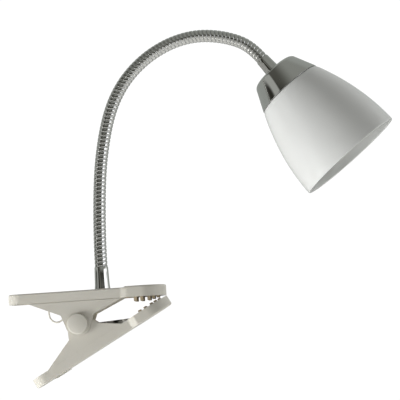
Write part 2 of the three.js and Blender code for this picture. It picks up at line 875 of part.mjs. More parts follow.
// The screwed shell, with its thread as rounded rings.
function bulbShell() {
  const root = BULB_SHELL_R - BULB_THREAD_DEPTH;
  const profile = [[0, SHELL_W], [root - BULB_THREAD_START, SHELL_W]];
  for (let i = 0; i < BULB_THREADS; i++) {
    const w = SHELL_W + BULB_THREAD_START + i * BULB_THREAD_PITCH;
    profile.push([root, w], [BULB_SHELL_R, w + BULB_THREAD_PITCH / 2]);
  }
  const plain = SHELL_W + BULB_THREAD_START + BULB_THREADS * BULB_THREAD_PITCH;
  const end = BODY_W - BULB_GAP;
  profile.push([root, plain], [root, end], [0, end]);
  return turned(profile, 20);
}

function bulbBody() {
  const end = LENS_W - BULB_GAP;
  return turned([
    [0, BODY_W],
    [BULB_COLLAR_R, BODY_W],
    [BULB_COLLAR_R, BODY_W + 4],
    [BULB_R * 0.62, BODY_W + 9],
    [BULB_R * 0.86, BODY_W + 19],
    [BULB_R, BODY_W + 29],
    [BULB_R, end],
    [0, end],
  ]);
}

function bulbLens() {
  const edge = BULB_R - 0.8;
  return turned([
    [0, LENS_W],
    [edge, LENS_W],
    [edge, LENS_W + 1.2],
    [edge * 0.82, LENS_W + 0.62 * BULB_LENS_DOME + 0.6],
    [edge * 0.45, LENS_W + 0.94 * BULB_LENS_DOME + 0.4],
    [0, LENS_W + BULB_LENS_DOME + 0.6],
  ]);
}

// ---------------------------------------------------------------- assembly about the clip's pivot

function clip() {
  const shut = new THREE.Group();
  shut.rotation.y = -2 * HALF_ANGLE;
  const flipped = new THREE.Group();
  flipped.rotation.x = Math.PI;
  flipped.add(
    piece("lower_jaw", lowerJaw(), ivoryPlastic),
    piece("lower_grip_pad", pad(LOWER_HALF_W, LOWER_GRIP), padRubber),
  );
  shut.add(flipped);
  const made = group(
    piece("upper_jaw", upperJaw(), ivoryPlastic),
    piece("upper_grip_pad", pad(UPPER_HALF_W, UPPER_GRIP), padRubber),
    shut,
    piece("pivot_pin", pivotPin(), zincSteel),
    piece("torsion_spring", torsionSpring(), springWire),
  );
  for (const [name, side] of [
    ["pivot_cap_near", -1],
    ["pivot_cap_far", 1],
  ]) {
    const cap = piece(name, pivotCap(), ivoryPlastic);
    cap.position.y = side * (UPPER_CHEEK_OUT + GAP);
    cap.rotation.x = (-side * Math.PI) / 2;
    made.add(cap);
  }
  return made;
}

function neckFixings() {
  const washerTop = UNDERSIDE_H - BOSS_T - GAP;
  const nutTop = washerTop - WASHER_T - GAP;
  const studEnd = PLATE_H - STUD_BELOW;
  const baseFerrule = piece(
    "base_ferrule",
    ferrule(BASE_FERRULE_LENGTH, BASE_FERRULE_R),
    chrome,
  );
  baseFerrule.position.z = PLATE_H + GAP;
  const stud = ringOf(STUD_BORE_R, STUD_R, studEnd, PLATE_H + GAP + STUD_ENTRY);
  const washer = ringOf(STUD_HOLE_R, WASHER_R, washerTop - WASHER_T, washerTop);
  const nut = piece("base_nut", hexNut(NUT_T), zincSteel);
  nut.position.z = nutTop - NUT_T;
  const bush = piece("cord_outlet_bush", cordBush(), holderPlastic);
  bush.position.z = studEnd - GAP;
  return group(
    baseFerrule,
    piece("base_stud", stud, zincSteel),
    piece("base_washer", washer, zincSteel),
    nut,
    bush,
  );
}

// The neck as nested groups, so that each link turns about the ball of the one below it.
function neck(head) {
  const foot = group(piece("neck_foot", neckFoot(), chrome));
  foot.position.z = PLATE_H + GAP + BASE_FERRULE_LENGTH;
  const links = [foot];
  NECK_BENDS.forEach((bend, i) => {
    const last = i === NECK_BENDS.length - 1;
    const number = String(i + 1).padStart(2, "0");
    const link = last
      ? group(piece("neck_top", neckTop(), chrome))
      : group(piece(`neck_link_${number}`, neckLink(), chrome));
    link.position.z = i === 0 ? LINK_PITCH / 2 : LINK_PITCH;
    link.rotation.set(last ? radians(HEAD_TURN) : 0, radians(bend), 0, "YXZ");
    links[i].add(link);
    links.push(link);
  });
  head.position.z = LINK_PITCH / 2;
  links.at(-1).add(head);
  return links;
}

function lampHead() {
  const topFerrule = piece(
    "top_ferrule",
    ferrule(TOP_FERRULE_LENGTH - GAP, TOP_FERRULE_R),
    chrome,
  );
  topFerrule.rotation.x = Math.PI;
  topFerrule.position.z = TOP_FERRULE_LENGTH;
  const stud = ringOf(
    STUD_BORE_R,
    STUD_R,
    TOP_FERRULE_LENGTH - STUD_ENTRY,
    HEAD_STUD_END_W,
  );
  const nut = piece("head_nut", hexNut(HOLDER_TOP_W - CAP_TOP_W - 4 * GAP - CAP_WALL), zincSteel);
  nut.position.z = CAP_TOP_W + CAP_WALL + 2.5 * GAP;
  const made = group(
    topFerrule,
    piece("head_stud", stud, zincSteel),
    piece("head_cap", headCap(), chrome),
    nut,
    piece("shade", shadeGeometry(), shadeWhite),
    piece("holder_top", holderTop(), holderPlastic),
    piece("holder_skirt", holderSkirt(), holderPlastic),
    piece("shade_ring", shadeRing(), holderPlastic),
    piece("centre_contact", centreContact(), brass),
    piece("side_contact", sideContact(), brass),
    piece("bulb_tip", bulbTip(), zincSteel),
    piece("bulb_insulator", bulbInsulator(), flexBlack),
    piece("bulb_shell", bulbShell(), zincSteel),
    piece("bulb_body", bulbBody(), bulbPlastic),
    piece("bulb_lens", bulbLens(), bulbOpal),
  );
  [-1, 1].forEach((side, i) => {
    const screw = piece(`terminal_screw_${i + 1}`, terminalScrew(), brass);
    screw.position.y = side * TERMINAL_X;
    made.add(screw);
  });
  return made;
}

// The lead inside the neck, from the cord outlet to the lampholder. It runs straight along each link
// and turns near each pivot, so it stays inside the bores.
function innerFlex(base, links, head) {
  const turn = BALL_R + FLEX_R;
  const at = (where, z) => where.localToWorld(new THREE.Vector3(0, 0, z));
  const points = [
    at(base, PLATE_H - STUD_BELOW),
    at(base, PLATE_H),
    at(links[0], -SPIGOT_LENGTH),
    at(links[0], LINK_PITCH / 2 - turn),
  ];
  for (const link of links.slice(1, -1)) {
    points.push(at(link, turn), at(link, LINK_PITCH - turn));
  }
  points.push(
    at(links.at(-1), turn),
    at(head, SPIGOT_LENGTH),
    at(head, HEAD_STUD_END_W - 1),
  );
  const path = new THREE.CatmullRomCurve3(points, false, "centripetal");
  return piece("inner_flex", bar(path, FLEX_R, 8, FLEX_STEPS), flexBlack);
}

const head = lampHead();
const base = neckFixings();
base.position.x = NECK_X;
const links = neck(head);
base.add(links[0]);

const lamp = group(clip(), base);
lamp.position.set(-GRIP_A, 0, -GRIP_H);
const part = group(lamp);
part.updateMatrixWorld(true);
part.add(innerFlex(base, links, head));

export default part;
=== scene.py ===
import json
import math

import bmesh
import bpy
from mathutils import Matrix, Vector


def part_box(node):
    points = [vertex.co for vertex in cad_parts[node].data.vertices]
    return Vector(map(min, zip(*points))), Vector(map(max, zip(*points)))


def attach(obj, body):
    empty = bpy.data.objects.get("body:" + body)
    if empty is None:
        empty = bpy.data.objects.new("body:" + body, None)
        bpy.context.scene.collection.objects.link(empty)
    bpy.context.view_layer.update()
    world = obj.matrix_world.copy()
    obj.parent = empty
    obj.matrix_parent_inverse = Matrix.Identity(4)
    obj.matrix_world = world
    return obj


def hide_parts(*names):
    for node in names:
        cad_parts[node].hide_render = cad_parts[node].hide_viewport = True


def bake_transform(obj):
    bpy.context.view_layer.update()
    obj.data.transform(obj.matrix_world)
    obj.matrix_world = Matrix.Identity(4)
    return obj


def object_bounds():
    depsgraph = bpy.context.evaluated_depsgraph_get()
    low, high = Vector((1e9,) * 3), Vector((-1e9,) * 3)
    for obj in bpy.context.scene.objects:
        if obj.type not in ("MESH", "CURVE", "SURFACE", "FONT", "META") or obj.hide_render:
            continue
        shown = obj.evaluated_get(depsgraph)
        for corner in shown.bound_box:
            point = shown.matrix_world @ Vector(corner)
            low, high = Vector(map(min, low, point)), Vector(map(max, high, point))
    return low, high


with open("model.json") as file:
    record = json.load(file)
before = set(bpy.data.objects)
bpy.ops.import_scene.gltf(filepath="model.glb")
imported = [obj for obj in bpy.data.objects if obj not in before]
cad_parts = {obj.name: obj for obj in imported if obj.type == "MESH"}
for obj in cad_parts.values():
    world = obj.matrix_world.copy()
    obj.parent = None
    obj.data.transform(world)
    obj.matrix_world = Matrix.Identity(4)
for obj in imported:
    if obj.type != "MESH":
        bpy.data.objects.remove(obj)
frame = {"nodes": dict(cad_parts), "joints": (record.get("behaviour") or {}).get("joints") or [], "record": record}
cad_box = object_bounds()

# ------------------------------------------------------------------ camera
# The lamp is seen square to its side from a metre away and a little below, with the clip's plate
# rising slightly to the right.

mm = 0.001
joints = {joint["name"]: joint for joint in frame["joints"]}
pivot = Vector(joints["jaw_open"]["pos_m"])
low = Vector(cad_box[0])

view_distance = 1.0
view_rise = math.radians(-5.54)
view_turn = math.radians(-0.67)
view_roll = math.radians(-3.88)
view_span = 0.3177  # width of the picture at the lamp's middle
aim = pivot + Vector((100.8, 0, 91.25)) * mm

toward_camera = Vector(
    (
        math.sin(view_turn) * math.cos(view_rise),
        -math.cos(view_turn) * math.cos(view_rise),
        math.sin(view_rise),
    )
)
camera_data = bpy.data.cameras.new("camera")
camera_data.lens = camera_data.sensor_width * view_distance / view_span
camera_data.clip_end = 30
camera = bpy.data.objects.new("camera", camera_data)
bpy.context.scene.collection.objects.link(camera)
looking = (-toward_camera).to_track_quat("-Z", "Y").to_matrix().to_4x4()
camera.matrix_world = (
    Matrix.Translation(aim + toward_camera * view_distance)
    @ looking
    @ Matrix.Rotation(view_roll, 4, "Z")
)
bpy.context.scene.camera = camera
bpy.context.scene.view_settings.view_transform = "Standard"

# ------------------------------------------------------------------ studio
# A white surround with a dark room on the camera's side, as a studio has. Pale cards in that room
# give the chrome its stripes. The diffuse light comes from soft boxes to the left and below.


def studio_world():
    world = bpy.data.worlds.new("studio")
    world.use_nodes = True
    tree = world.node_tree
    tree.nodes.clear()
    link = tree.links.new
    direction = tree.nodes.new("ShaderNodeTexCoord")
    axes = tree.nodes.new("ShaderNodeSeparateXYZ")
    link(direction.outputs["Generated"], axes.inputs[0])

    def between(value, start, end):
        """0 where value is below start and 1 above end, with a smooth step between."""
        step = tree.nodes.new("ShaderNodeMapRange")
        step.interpolation_type = "SMOOTHSTEP"
        step.inputs["From Min"].default_value = start
        step.inputs["From Max"].default_value = end
        link(value, step.inputs["Value"])
        return step.outputs["Result"]

    def both(first, second):
        product = tree.nodes.new("ShaderNodeMath")
        product.operation = "MULTIPLY"
        link(first, product.inputs[0])
        link(second, product.inputs[1])
        return product.outputs[0]

    def over(under, mask, color):
        mix = tree.nodes.new("ShaderNodeMix")
        mix.data_type = "RGBA"
        link(mask, mix.inputs["Factor"])
        if isinstance(under, tuple):
            mix.inputs["A"].default_value = under
        else:
            link(under, mix.inputs["A"])
        mix.inputs["B"].default_value = color
        return mix.outputs["Result"]

    x, y, z = axes.outputs["X"], axes.outputs["Y"], axes.outputs["Z"]
    dark_room = (0.035, 0.034, 0.028, 1)
    room_top = (0.10, 0.10, 0.088, 1)
    pale_corner = (0.31, 0.32, 0.30, 1)
    white_below = (1.0, 1.0, 1.0, 1)
    grey_behind = (0.38, 0.40, 0.38, 1)
    cards = (  # left, right, bottom and top as parts of a direction, and colour
        (0.66, 0.99, -0.6, 0.32, (1.9, 1.93, 2.0, 1)),
        (-0.52, -0.36, -0.7, 0.25, (0.20, 0.20, 0.18, 1)),
        (-0.10, 0.06, -0.7, 0.1, (0.10, 0.10, 0.08, 1)),
        (-0.97, -0.82, -0.9, 0.6, (0.45, 0.46, 0.44, 1)),
    )
    shown = over(dark_room, between(z, 0.1, 0.62), room_top)
    shown = over(shown, both(between(z, 0.05, 0.45), between(x, -0.65, 0.0)), pale_corner)
    for left, right, bottom, top, color in cards:
        across_card = both(
            between(x, left - 0.02, left + 0.02), between(x, right + 0.02, right - 0.02)
        )
        up_card = both(between(z, bottom - 0.05, bottom + 0.05), between(z, top + 0.05, top - 0.05))
        shown = over(shown, both(across_card, up_card), color)
    shown = over(shown, between(z, -0.28, -0.5), white_below)
    shown = over(shown, between(y, 0.0, 0.4), grey_behind)
    dim_front = (0.16, 0.16, 0.15, 1)
    bright_back = (0.9, 0.9, 0.88, 1)
    soft = over(dim_front, between(y, -0.2, 0.5), bright_back)

    out = tree.nodes.new("ShaderNodeOutputWorld")
    path = tree.nodes.new("ShaderNodeLightPath")
    light = tree.nodes.new("ShaderNodeBackground")
    mirrored = over(soft, path.outputs["Is Glossy Ray"], (0, 0, 0, 1))
    link(shown, mirrored.node.inputs["B"])
    seen = over(mirrored, path.outputs["Is Camera Ray"], (1.05, 1.05, 1.05, 1))
    link(seen, light.inputs["Color"])
    link(light.outputs[0], out.inputs["Surface"])
    return world


bpy.context.scene.world = studio_world()


def soft_box(name, place, target, width, height, power):
    """A rectangular area light that faces a target. It lights but isn't mirrored."""
    data = bpy.data.lights.new(name, "AREA")
    data.shape = "RECTANGLE"
    data.size = width
    data.size_y = height
    data.energy = power
    light = bpy.data.objects.new(name, data)
    bpy.context.scene.collection.objects.link(light)
    facing = (target - place).to_track_quat("-Z", "Y").to_matrix().to_4x4()
    light.matrix_world = Matrix.Translation(place) @ facing
    light.visible_glossy = False
    light.visible_camera = False
    return light


soft_box("key_left", aim + Vector((-0.95, -0.34, -0.41)), aim, 0.55, 0.45, 9.2)
soft_box("fill_front", aim + Vector((0.2, -1.5, -0.15)), aim, 1.2, 0.8, 1.5)
soft_box("rim_right", aim + Vector((0.85, 0.35, 0.5)), aim, 0.5, 0.8, 4.6)
soft_box("floor_wash", Vector((aim.x, 0, low.z - 0.1)), Vector((aim.x, 0.001, -1)), 1.8, 1.8, 3.0)

floor_drop = 0.42
floor_size = 9.0
floor_mesh = bpy.data.meshes.new("floor")
bm = bmesh.new()
bmesh.ops.create_grid(bm, x_segments=1, y_segments=1, size=floor_size / 2)
bmesh.ops.translate(bm, verts=bm.verts, vec=(aim.x, 0, low.z - floor_drop))
bm.to_mesh(floor_mesh)
bm.free()
floor = bpy.data.objects.new("floor", floor_mesh)
bpy.context.scene.collection.objects.link(floor)
paper = bpy.data.materials.new("pale_paper")
paper.use_nodes = True
paper_shader = paper.node_tree.nodes["Principled BSDF"]
paper_shader.inputs["Base Color"].default_value = (0.84, 0.84, 0.83, 1)
paper_shader.inputs["Roughness"].default_value = 0.8
paper_shader.inputs["Emission Color"].default_value = (0.5, 0.5, 0.49, 1)
# The paper glows to the camera alone, so that it looks pale but adds no light.
ray = paper.node_tree.nodes.new("ShaderNodeLightPath")
paper.node_tree.links.new(ray.outputs["Is Camera Ray"], paper_shader.inputs["Emission Strength"])
floor_mesh.materials.append(paper)

# ------------------------------------------------------------------ upper jaw
# The clip's upper jaw is one moulding in ivory plastic: a rimmed plate that flares to a round nose,
# with two cheeks below it that carry the pivot, and a hole for the neck's stud.


def surface_group():
    """Slow drifts of tone and gloss and a fine surface ripple, as moulded or plated skins have."""
    group = bpy.data.node_groups.new("skin_variation", "ShaderNodeTree")
    face = group.interface
    for name, kind, value in (
        ("Color", "NodeSocketColor", (0.8, 0.8, 0.8, 1)),
        ("Tint", "NodeSocketColor", (0.7, 0.7, 0.7, 1)),
        ("Tint Amount", "NodeSocketFloat", 0.3),
        ("Roughness", "NodeSocketFloat", 0.3),
        ("Gloss Spread", "NodeSocketFloat", 0.1),
        ("Patch Scale", "NodeSocketFloat", 40.0),
        ("Grain Scale", "NodeSocketFloat", 900.0),
    ):
        face.new_socket(name, in_out="INPUT", socket_type=kind).default_value = value
    for name, kind in (
        ("Color", "NodeSocketColor"),
        ("Roughness", "NodeSocketFloat"),
        ("Height", "NodeSocketFloat"),
    ):
        face.new_socket(name, in_out="OUTPUT", socket_type=kind)
    node, link = group.nodes.new, group.links.new
    given = node("NodeGroupInput")
    out = node("NodeGroupOutput")
    place = node("ShaderNodeTexCoord")
    patches = node("ShaderNodeTexNoise")
    patches.inputs["Detail"].default_value = 4
    grain = node("ShaderNodeTexNoise")
    grain.inputs["Detail"].default_value = 2
    amount = node("ShaderNodeMath")
    amount.operation = "MULTIPLY"
    tone = node("ShaderNodeMix")
    tone.data_type = "RGBA"
    centred = node("ShaderNodeMath")
    centred.operation = "SUBTRACT"
    centred.inputs[1].default_value = 0.5
    spread = node("ShaderNodeMath")
    spread.operation = "MULTIPLY_ADD"
    link(place.outputs["Object"], patches.inputs["Vector"])
    link(place.outputs["Object"], grain.inputs["Vector"])
    link(given.outputs["Patch Scale"], patches.inputs["Scale"])
    link(given.outputs["Grain Scale"], grain.inputs["Scale"])
    link(patches.outputs["Fac"], amount.inputs[0])
    link(given.outputs["Tint Amount"], amount.inputs[1])
    link(amount.outputs[0], tone.inputs["Factor"])
    link(given.outputs["Color"], tone.inputs["A"])
    link(given.outputs["Tint"], tone.inputs["B"])
    link(tone.outputs["Result"], out.inputs["Color"])
    link(patches.outputs["Fac"], centred.inputs[0])
    link(centred.outputs[0], spread.inputs[0])
    link(given.outputs["Gloss Spread"], spread.inputs[1])
    link(given.outputs["Roughness"], spread.inputs[2])
    link(spread.outputs[0], out.inputs["Roughness"])
    link(grain.outputs["Fac"], out.inputs["Height"])
    return group


skin_variation = surface_group()


def skin(
    name,
    color,
    tint,
    tint_amount,
    roughness,
    spread,
    patch_scale,
    grain_scale,
    ripple,
    metallic=0.0,
):
    """A material with the shared skin group. ripple is the depth of its surface grain in metres."""
    material = bpy.data.materials.new(name)
    material.use_nodes = True
    tree = material.node_tree
    shader = tree.nodes["Principled BSDF"]
    group = tree.nodes.new("ShaderNodeGroup")
    group.node_tree = skin_variation
    group.inputs["Color"].default_value = (*color, 1)
    group.inputs["Tint"].default_value = (*tint, 1)
    group.inputs["Tint Amount"].default_value = tint_amount
    group.inputs["Roughness"].default_value = roughness
    group.inputs["Gloss Spread"].default_value = spread
    group.inputs["Patch Scale"].default_value = patch_scale
    group.inputs["Grain Scale"].default_value = grain_scale
    bump = tree.nodes.new("ShaderNodeBump")
    bump.inputs["Strength"].default_value = 1.0
    bump.inputs["Distance"].default_value = ripple
    tree.links.new(group.outputs["Color"], shader.inputs["Base Color"])
    tree.links.new(group.outputs["Roughness"], shader.inputs["Roughness"])
    tree.links.new(group.outputs["Height"], bump.inputs["Height"])
    tree.links.new(bump.outputs["Normal"], shader.inputs["Normal"])
    shader.inputs["Metallic"].default_value = metallic
    return material


ivory_plastic = skin(
    "ivory_clip_plastic",
    color=(0.70, 0.68, 0.62),
    tint=(0.62, 0.58, 0.49),
    tint_amount=0.35,
    roughness=0.36,
    spread=0.12,
    patch_scale=26,
    grain_scale=1400,
    ripple=0.000005,
)
ivory_shader = ivory_plastic.node_tree.nodes["Principled BSDF"]
ivory_shader.inputs["Subsurface Weight"].default_value = 0.06
ivory_shader.inputs["Subsurface Radius"].default_value = (0.004, 0.003, 0.002)
ivory_shader.inputs["Subsurface Scale"].default_value = 0.5


def make_piece(name, bm, material, body, slot, *replaced, crease=35):
    """Turns a bmesh into a finished piece that rides on a body and stands for its CAD nodes."""
    mesh = bpy.data.meshes.new(name)
    bm.to_mesh(mesh)
    bm.free()
    mesh.materials.append(material)
    mesh.shade_smooth()
    mesh.set_sharp_from_angle(angle=math.radians(crease))
    piece = bpy.data.objects.new(name, mesh)
    bpy.context.scene.collection.objects.link(piece)
    if body:
        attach(piece, body)
    if replaced:
        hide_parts(*replaced)
    return piece


def even_shading(piece):
    """Keeps large flat faces flat-looking beside small rounded edges."""
    weighted = piece.modifiers.new("even_shading", "WEIGHTED_NORMAL")
    weighted.keep_sharp = True


def arc(centre, radii, start, end, steps):
    """Points on an ellipse about a centre, from one angle to another, in degrees."""
    angles = (math.radians(start + (end - start) * i / steps) for i in range(steps + 1))
    x, y = centre
    return [(x + radii[0] * math.cos(a), y + radii[1] * math.sin(a)) for a in angles]


def combined(base, tool, operation):
    """The bmesh base with tool joined to it or cut from it."""
    solids = []
    for bm in (base, tool):
        bmesh.ops.recalc_face_normals(bm, faces=bm.faces)
        mesh = bpy.data.meshes.new("blank")
        bm.to_mesh(mesh)
        bm.free()
        solids.append(bpy.data.objects.new("blank", mesh))
        bpy.context.scene.collection.objects.link(solids[-1])
    modifier = solids[0].modifiers.new("joint", "BOOLEAN")
    modifier.operation = operation
    modifier.solver = "EXACT"
    modifier.object = solids[1]
    bpy.context.view_layer.update()
    made = bmesh.new()
    made.from_object(solids[0], bpy.context.evaluated_depsgraph_get())
    for blank in solids:
        mesh = blank.data
        bpy.data.objects.remove(blank)
        bpy.data.meshes.remove(mesh)
    bmesh.ops.remove_doubles(made, verts=made.verts, dist=1e-4)
    return made


def raised(points, bottom, top):
    """A flat outline raised along Z into a block."""
    bm = bmesh.new()
    face = bm.faces.new([bm.verts.new((x, y, bottom)) for x, y in points])
    grown = bmesh.ops.extrude_face_region(bm, geom=[face])
    moved = [v for v in grown["geom"] if isinstance(v, bmesh.types.BMVert)]
    bmesh.ops.translate(bm, verts=moved, vec=(0, 0, top - bottom))
    bmesh.ops.recalc_face_normals(bm, faces=bm.faces)
    return bm


def rounded_edges(bm, width, segments, wanted):
    """Rounds the edges that wanted picks."""
    edges = [e for e in bm.edges if e.is_manifold and wanted(e)]
    bmesh.ops.bevel(
        bm,
        geom=edges,
        offset=width,
        segments=segments,
        profile=0.5,
        affect="EDGES",
        material=-1,
        clamp_overlap=True,
    )


# Jaw sizes in millimetres, from the pivot: a along the jaw, y across it and h up to the plate.
plate_h = 25.7
plate_t = 2.2
rim_h = plate_h - 7.8
edge_r = 1.2
wall = 2.0
handle_length = 53.5
nose_length = 69.5
handle_corner = 10.0
flare_start = 33.0
flare_length = 7.0
nose_start = 50.0
nose_half = 21.5
nose_raise = 0.8
cheek_t = 2.2
cheek_front = 36.0
cheek_rear = 38.5
cheek_waist = (12.8, 7.0)
upper_half = 19.2
upper_cheek_out = 18.9
pin_hole_r = 2.3
stiffeners = (-46.5, -36.0)
stiffener_t = 1.4
stiffener_depth = 3.2
overlap = 0.5  # how far a rib or bar reaches into the wall it joins


def jaw_plan(half, inset=0.0):
    """Outline of a jaw seen square to its plate, drawn in by an inset."""
    body, nose = half - inset, nose_half - inset
    corner, rear = handle_corner - inset, inset - handle_length
    side = arc((rear + corner, body - corner), (corner, corner), 180, 90, 10)
    for i in range(13):
        share = i / 12
        swell = (1 - math.cos(math.pi * share)) / 2
        side.append((flare_start + flare_length * share, body + (nose - body) * swell))
    side += arc((nose_start, 0), (nose_length - inset - nose_start, nose), 90, 0, 22)
    return side + [(x, -y) for x, y in reversed(side[:-1])]


def cheek_outline(round_r):
    """Side outline of a cheek: from the plate down to the round end about the pivot."""
    reach = math.hypot(*cheek_waist)
    touch = math.degrees(math.atan2(cheek_waist[1], cheek_waist[0]) - math.acos(round_r / reach))
    top = plate_h - plate_t / 2
    return (
        [(-cheek_rear, top), (-cheek_rear, rim_h), (-cheek_waist[0], cheek_waist[1])]
        + arc((0, 0), (round_r, round_r), -180 - touch, touch, 28)
        + [cheek_waist, (cheek_front, rim_h), (cheek_front, top)]
    )


def bar_between(corner, opposite):
    bm = bmesh.new()
    bmesh.ops.create_cube(bm, size=1)
    size = [b - a for a, b in zip(corner, opposite)]
    bmesh.ops.scale(bm, verts=bm.verts, vec=size)
    bmesh.ops.translate(bm, verts=bm.verts, vec=[a + s / 2 for a, s in zip(corner, size)])
    return bm


def round_bar(radius, centre, bottom, top, sides=40):
    bm = bmesh.new()
    bmesh.ops.create_cone(
        bm, cap_ends=True, segments=sides, radius1=radius, radius2=radius, depth=top - bottom
    )
    bmesh.ops.translate(bm, verts=bm.verts, vec=(*centre, (bottom + top) / 2))
    return bm


stand_up = Matrix.Rotation(math.pi / 2, 3, "X")  # turns Y into Z


def jaw(half, cheek_out, round_r):
    """A jaw with its plate up, in millimetres about the pivot."""
    bm = raised(jaw_plan(half), rim_h, plate_h)
    rounded_edges(bm, edge_r, 4, lambda e: all(v.co.z > plate_h - 0.01 for v in e.verts))
    bm = combined(bm, raised(jaw_plan(half, wall), rim_h - 2, plate_h - plate_t), "DIFFERENCE")
    for place in stiffeners:
        low_corner = (place, overlap - half, plate_h - plate_t - stiffener_depth)
        high_corner = (place + stiffener_t, half - overlap, plate_h - plate_t + overlap)
        bm = combined(bm, bar_between(low_corner, high_corner), "UNION")
    for outer in (cheek_out, cheek_t - cheek_out):
        cheek = raised(cheek_outline(round_r), 0, cheek_t)
        bmesh.ops.rotate(cheek, verts=cheek.verts, cent=(0, 0, 0), matrix=stand_up)
        bmesh.ops.translate(cheek, verts=cheek.verts, vec=(0, outer, 0))
        bm = combined(bm, cheek, "UNION")
    hole = round_bar(pin_hole_r, (0, 0), -2 * half, 2 * half)
    bmesh.ops.rotate(hole, verts=hole.verts, cent=(0, 0, 0), matrix=stand_up)
    return combined(bm, hole, "DIFFERENCE")


def soft_edges(piece, width, segments=2):
    """A small moulded radius on every sharp edge."""
    bevel = piece.modifiers.new("moulded_edges", "BEVEL")
    bevel.width = width
    bevel.segments = segments
    bevel.limit_method = "ANGLE"
    bevel.angle_limit = math.radians(38)
    even_shading(piece)


neck_foot = Vector(joints["neck_sway_01"]["pos_m"])
neck_a = (neck_foot.x - pivot.x) / mm
cheek_round_r = 9.6
stud_hole_r = 5.2
boss_r = 10
boss_t = 1.2
line_depth = 0.6
line_height = 0.6
moulded_edge = 0.22 * mm
to_upper = Matrix.Translation(pivot) @ Matrix.Scale(mm, 4)

bm = jaw(upper_half, upper_cheek_out, cheek_round_r)
nose_top = plate_h + nose_raise
nose_cap = raised(jaw_plan(upper_half), plate_h - 3, nose_top)
rounded_edges(nose_cap, edge_r, 4, lambda e: all(v.co.z > nose_top - 0.01 for v in e.verts))
bmesh.ops.bisect_plane(
    nose_cap,
    geom=nose_cap.verts[:] + nose_cap.edges[:] + nose_cap.faces[:],
    plane_co=(flare_start + flare_length - 1.5, 0, plate_h),
    plane_no=(-1, 0, -2.2),
    clear_outer=True,
)
bmesh.ops.holes_fill(nose_cap, edges=nose_cap.edges)
bm = combined(bm, nose_cap, "UNION")
boss = round_bar(boss_r, (neck_a, 0), plate_h - plate_t - boss_t, plate_h - 0.8, 64)
bm = combined(bm, boss, "UNION")
for side in (-1, 1):
    # A moulding line runs along each cheek, just under the rim.
    face = side * upper_cheek_out
    line_start = (-cheek_rear - 1, face - side * line_depth, rim_h - line_height)
    line_end = (cheek_front + 1, face + side, rim_h)
    line = bar_between(line_start, line_end)
    bmesh.ops.recalc_face_normals(line, faces=line.faces)
    bm = combined(bm, line, "DIFFERENCE")
bm = combined(bm, round_bar(stud_hole_r, (neck_a, 0), 0, plate_h + 3), "DIFFERENCE")
bmesh.ops.transform(bm, matrix=to_upper, verts=bm.verts)
upper_jaw = make_piece(
    "upper_jaw_moulding", bm, ivory_plastic, "upper_jaw", "clip_plastic", "upper_jaw"
)
soft_edges(upper_jaw, moulded_edge)

# ------------------------------------------------------------------ lower jaw
# The lower jaw is the same kind of moulding turned over. Its cheeks run inside the upper ones, and
# low finger ribs cross the outside of its handle.

grip = next(m for m in frame["record"]["mounts"] if m["name"] == "lower_grip_face")
jaw_angle = math.atan2(-grip["axis"][0], grip["axis"][2])
to_lower = (
    Matrix.Translation(pivot)
    @ Matrix.Rotation(-jaw_angle, 4, "Y")
    @ Matrix.Rotation(math.pi, 4, "X")
    @ Matrix.Scale(mm, 4)
)
lower_half = 16.4
lower_cheek_out = 16.2
lower_round_r = 8.6
rib_count = 6
rib_pitch = 2.2
rib_width = 1.1
rib_first = -37.3
rib_half = 12.5
rib_proud = 0.8

bm = jaw(lower_half, lower_cheek_out, lower_round_r)
for i in range(rib_count):
    place = rib_first + i * rib_pitch
    rib_start = (place, -rib_half, plate_h - overlap)
    rib_end = (place + rib_width, rib_half, plate_h + rib_proud)
    bm = combined(bm, bar_between(rib_start, rib_end), "UNION")
bmesh.ops.transform(bm, matrix=to_lower, verts=bm.verts)
lower_jaw = make_piece(
    "lower_jaw_moulding", bm, ivory_plastic, "lower_jaw", "clip_plastic", "lower_jaw"
)
soft_edges(lower_jaw, moulded_edge)

# ------------------------------------------------------------------ grip pads
# Each nose holds a ribbed pad of soft cream rubber, pushed into its pocket. The ribs are rounded. Their colour is
# painted shade: the cream is darkened to brown to stand for the shade between the jaws.

# The brown colour and tint are painted shade: cream rubber darkened to stand for the shade the pads sit in between
# the jaws.
pad_rubber_painted_shade = skin(
    "grip_rubber_painted_shade",
    color=(0.48, 0.40, 0.28),
    tint=(0.40, 0.32, 0.20),
    tint_amount=0.4,
    roughness=0.62,
    spread=0.15,
    patch_scale=90,
    grain_scale=2400,
    ripple=0.00003,
)


def copy_of(node):
    """A bmesh of a CAD node with its loose triangles joined and its flat faces made whole."""
    bm = bmesh.new()
    bm.from_mesh(frame["nodes"][node].data)
    bmesh.ops.remove_doubles(bm, verts=bm.verts, dist=1e-6)
    bmesh.ops.dissolve_limit(bm, angle_limit=math.radians(1), verts=bm.verts, edges=bm.edges)
    return bm


rib_rounding = 0.5 * mm
for node, body in (("upper_grip_pad", "upper_jaw"), ("lower_grip_pad", "lower_jaw")):
    pad = make_piece(node + "_ribbed", copy_of(node), pad_rubber_painted_shade, body, "grip_rubber", node)
    soft_edges(pad, rib_rounding, 3)

# ------------------------------------------------------------------ pivot
# A steel pin carries both jaws. A domed ivory button is pressed on each of its ends.

zinc = skin(
    "zinc_plated_steel",
    color=(0.62, 0.63, 0.64),
    tint=(0.45, 0.46, 0.47),
    tint_amount=0.6,
    roughness=0.34,
    spread=0.2,
    patch_scale=160,
    grain_scale=3000,
    ripple=0.000004,
    metallic=1.0,
)


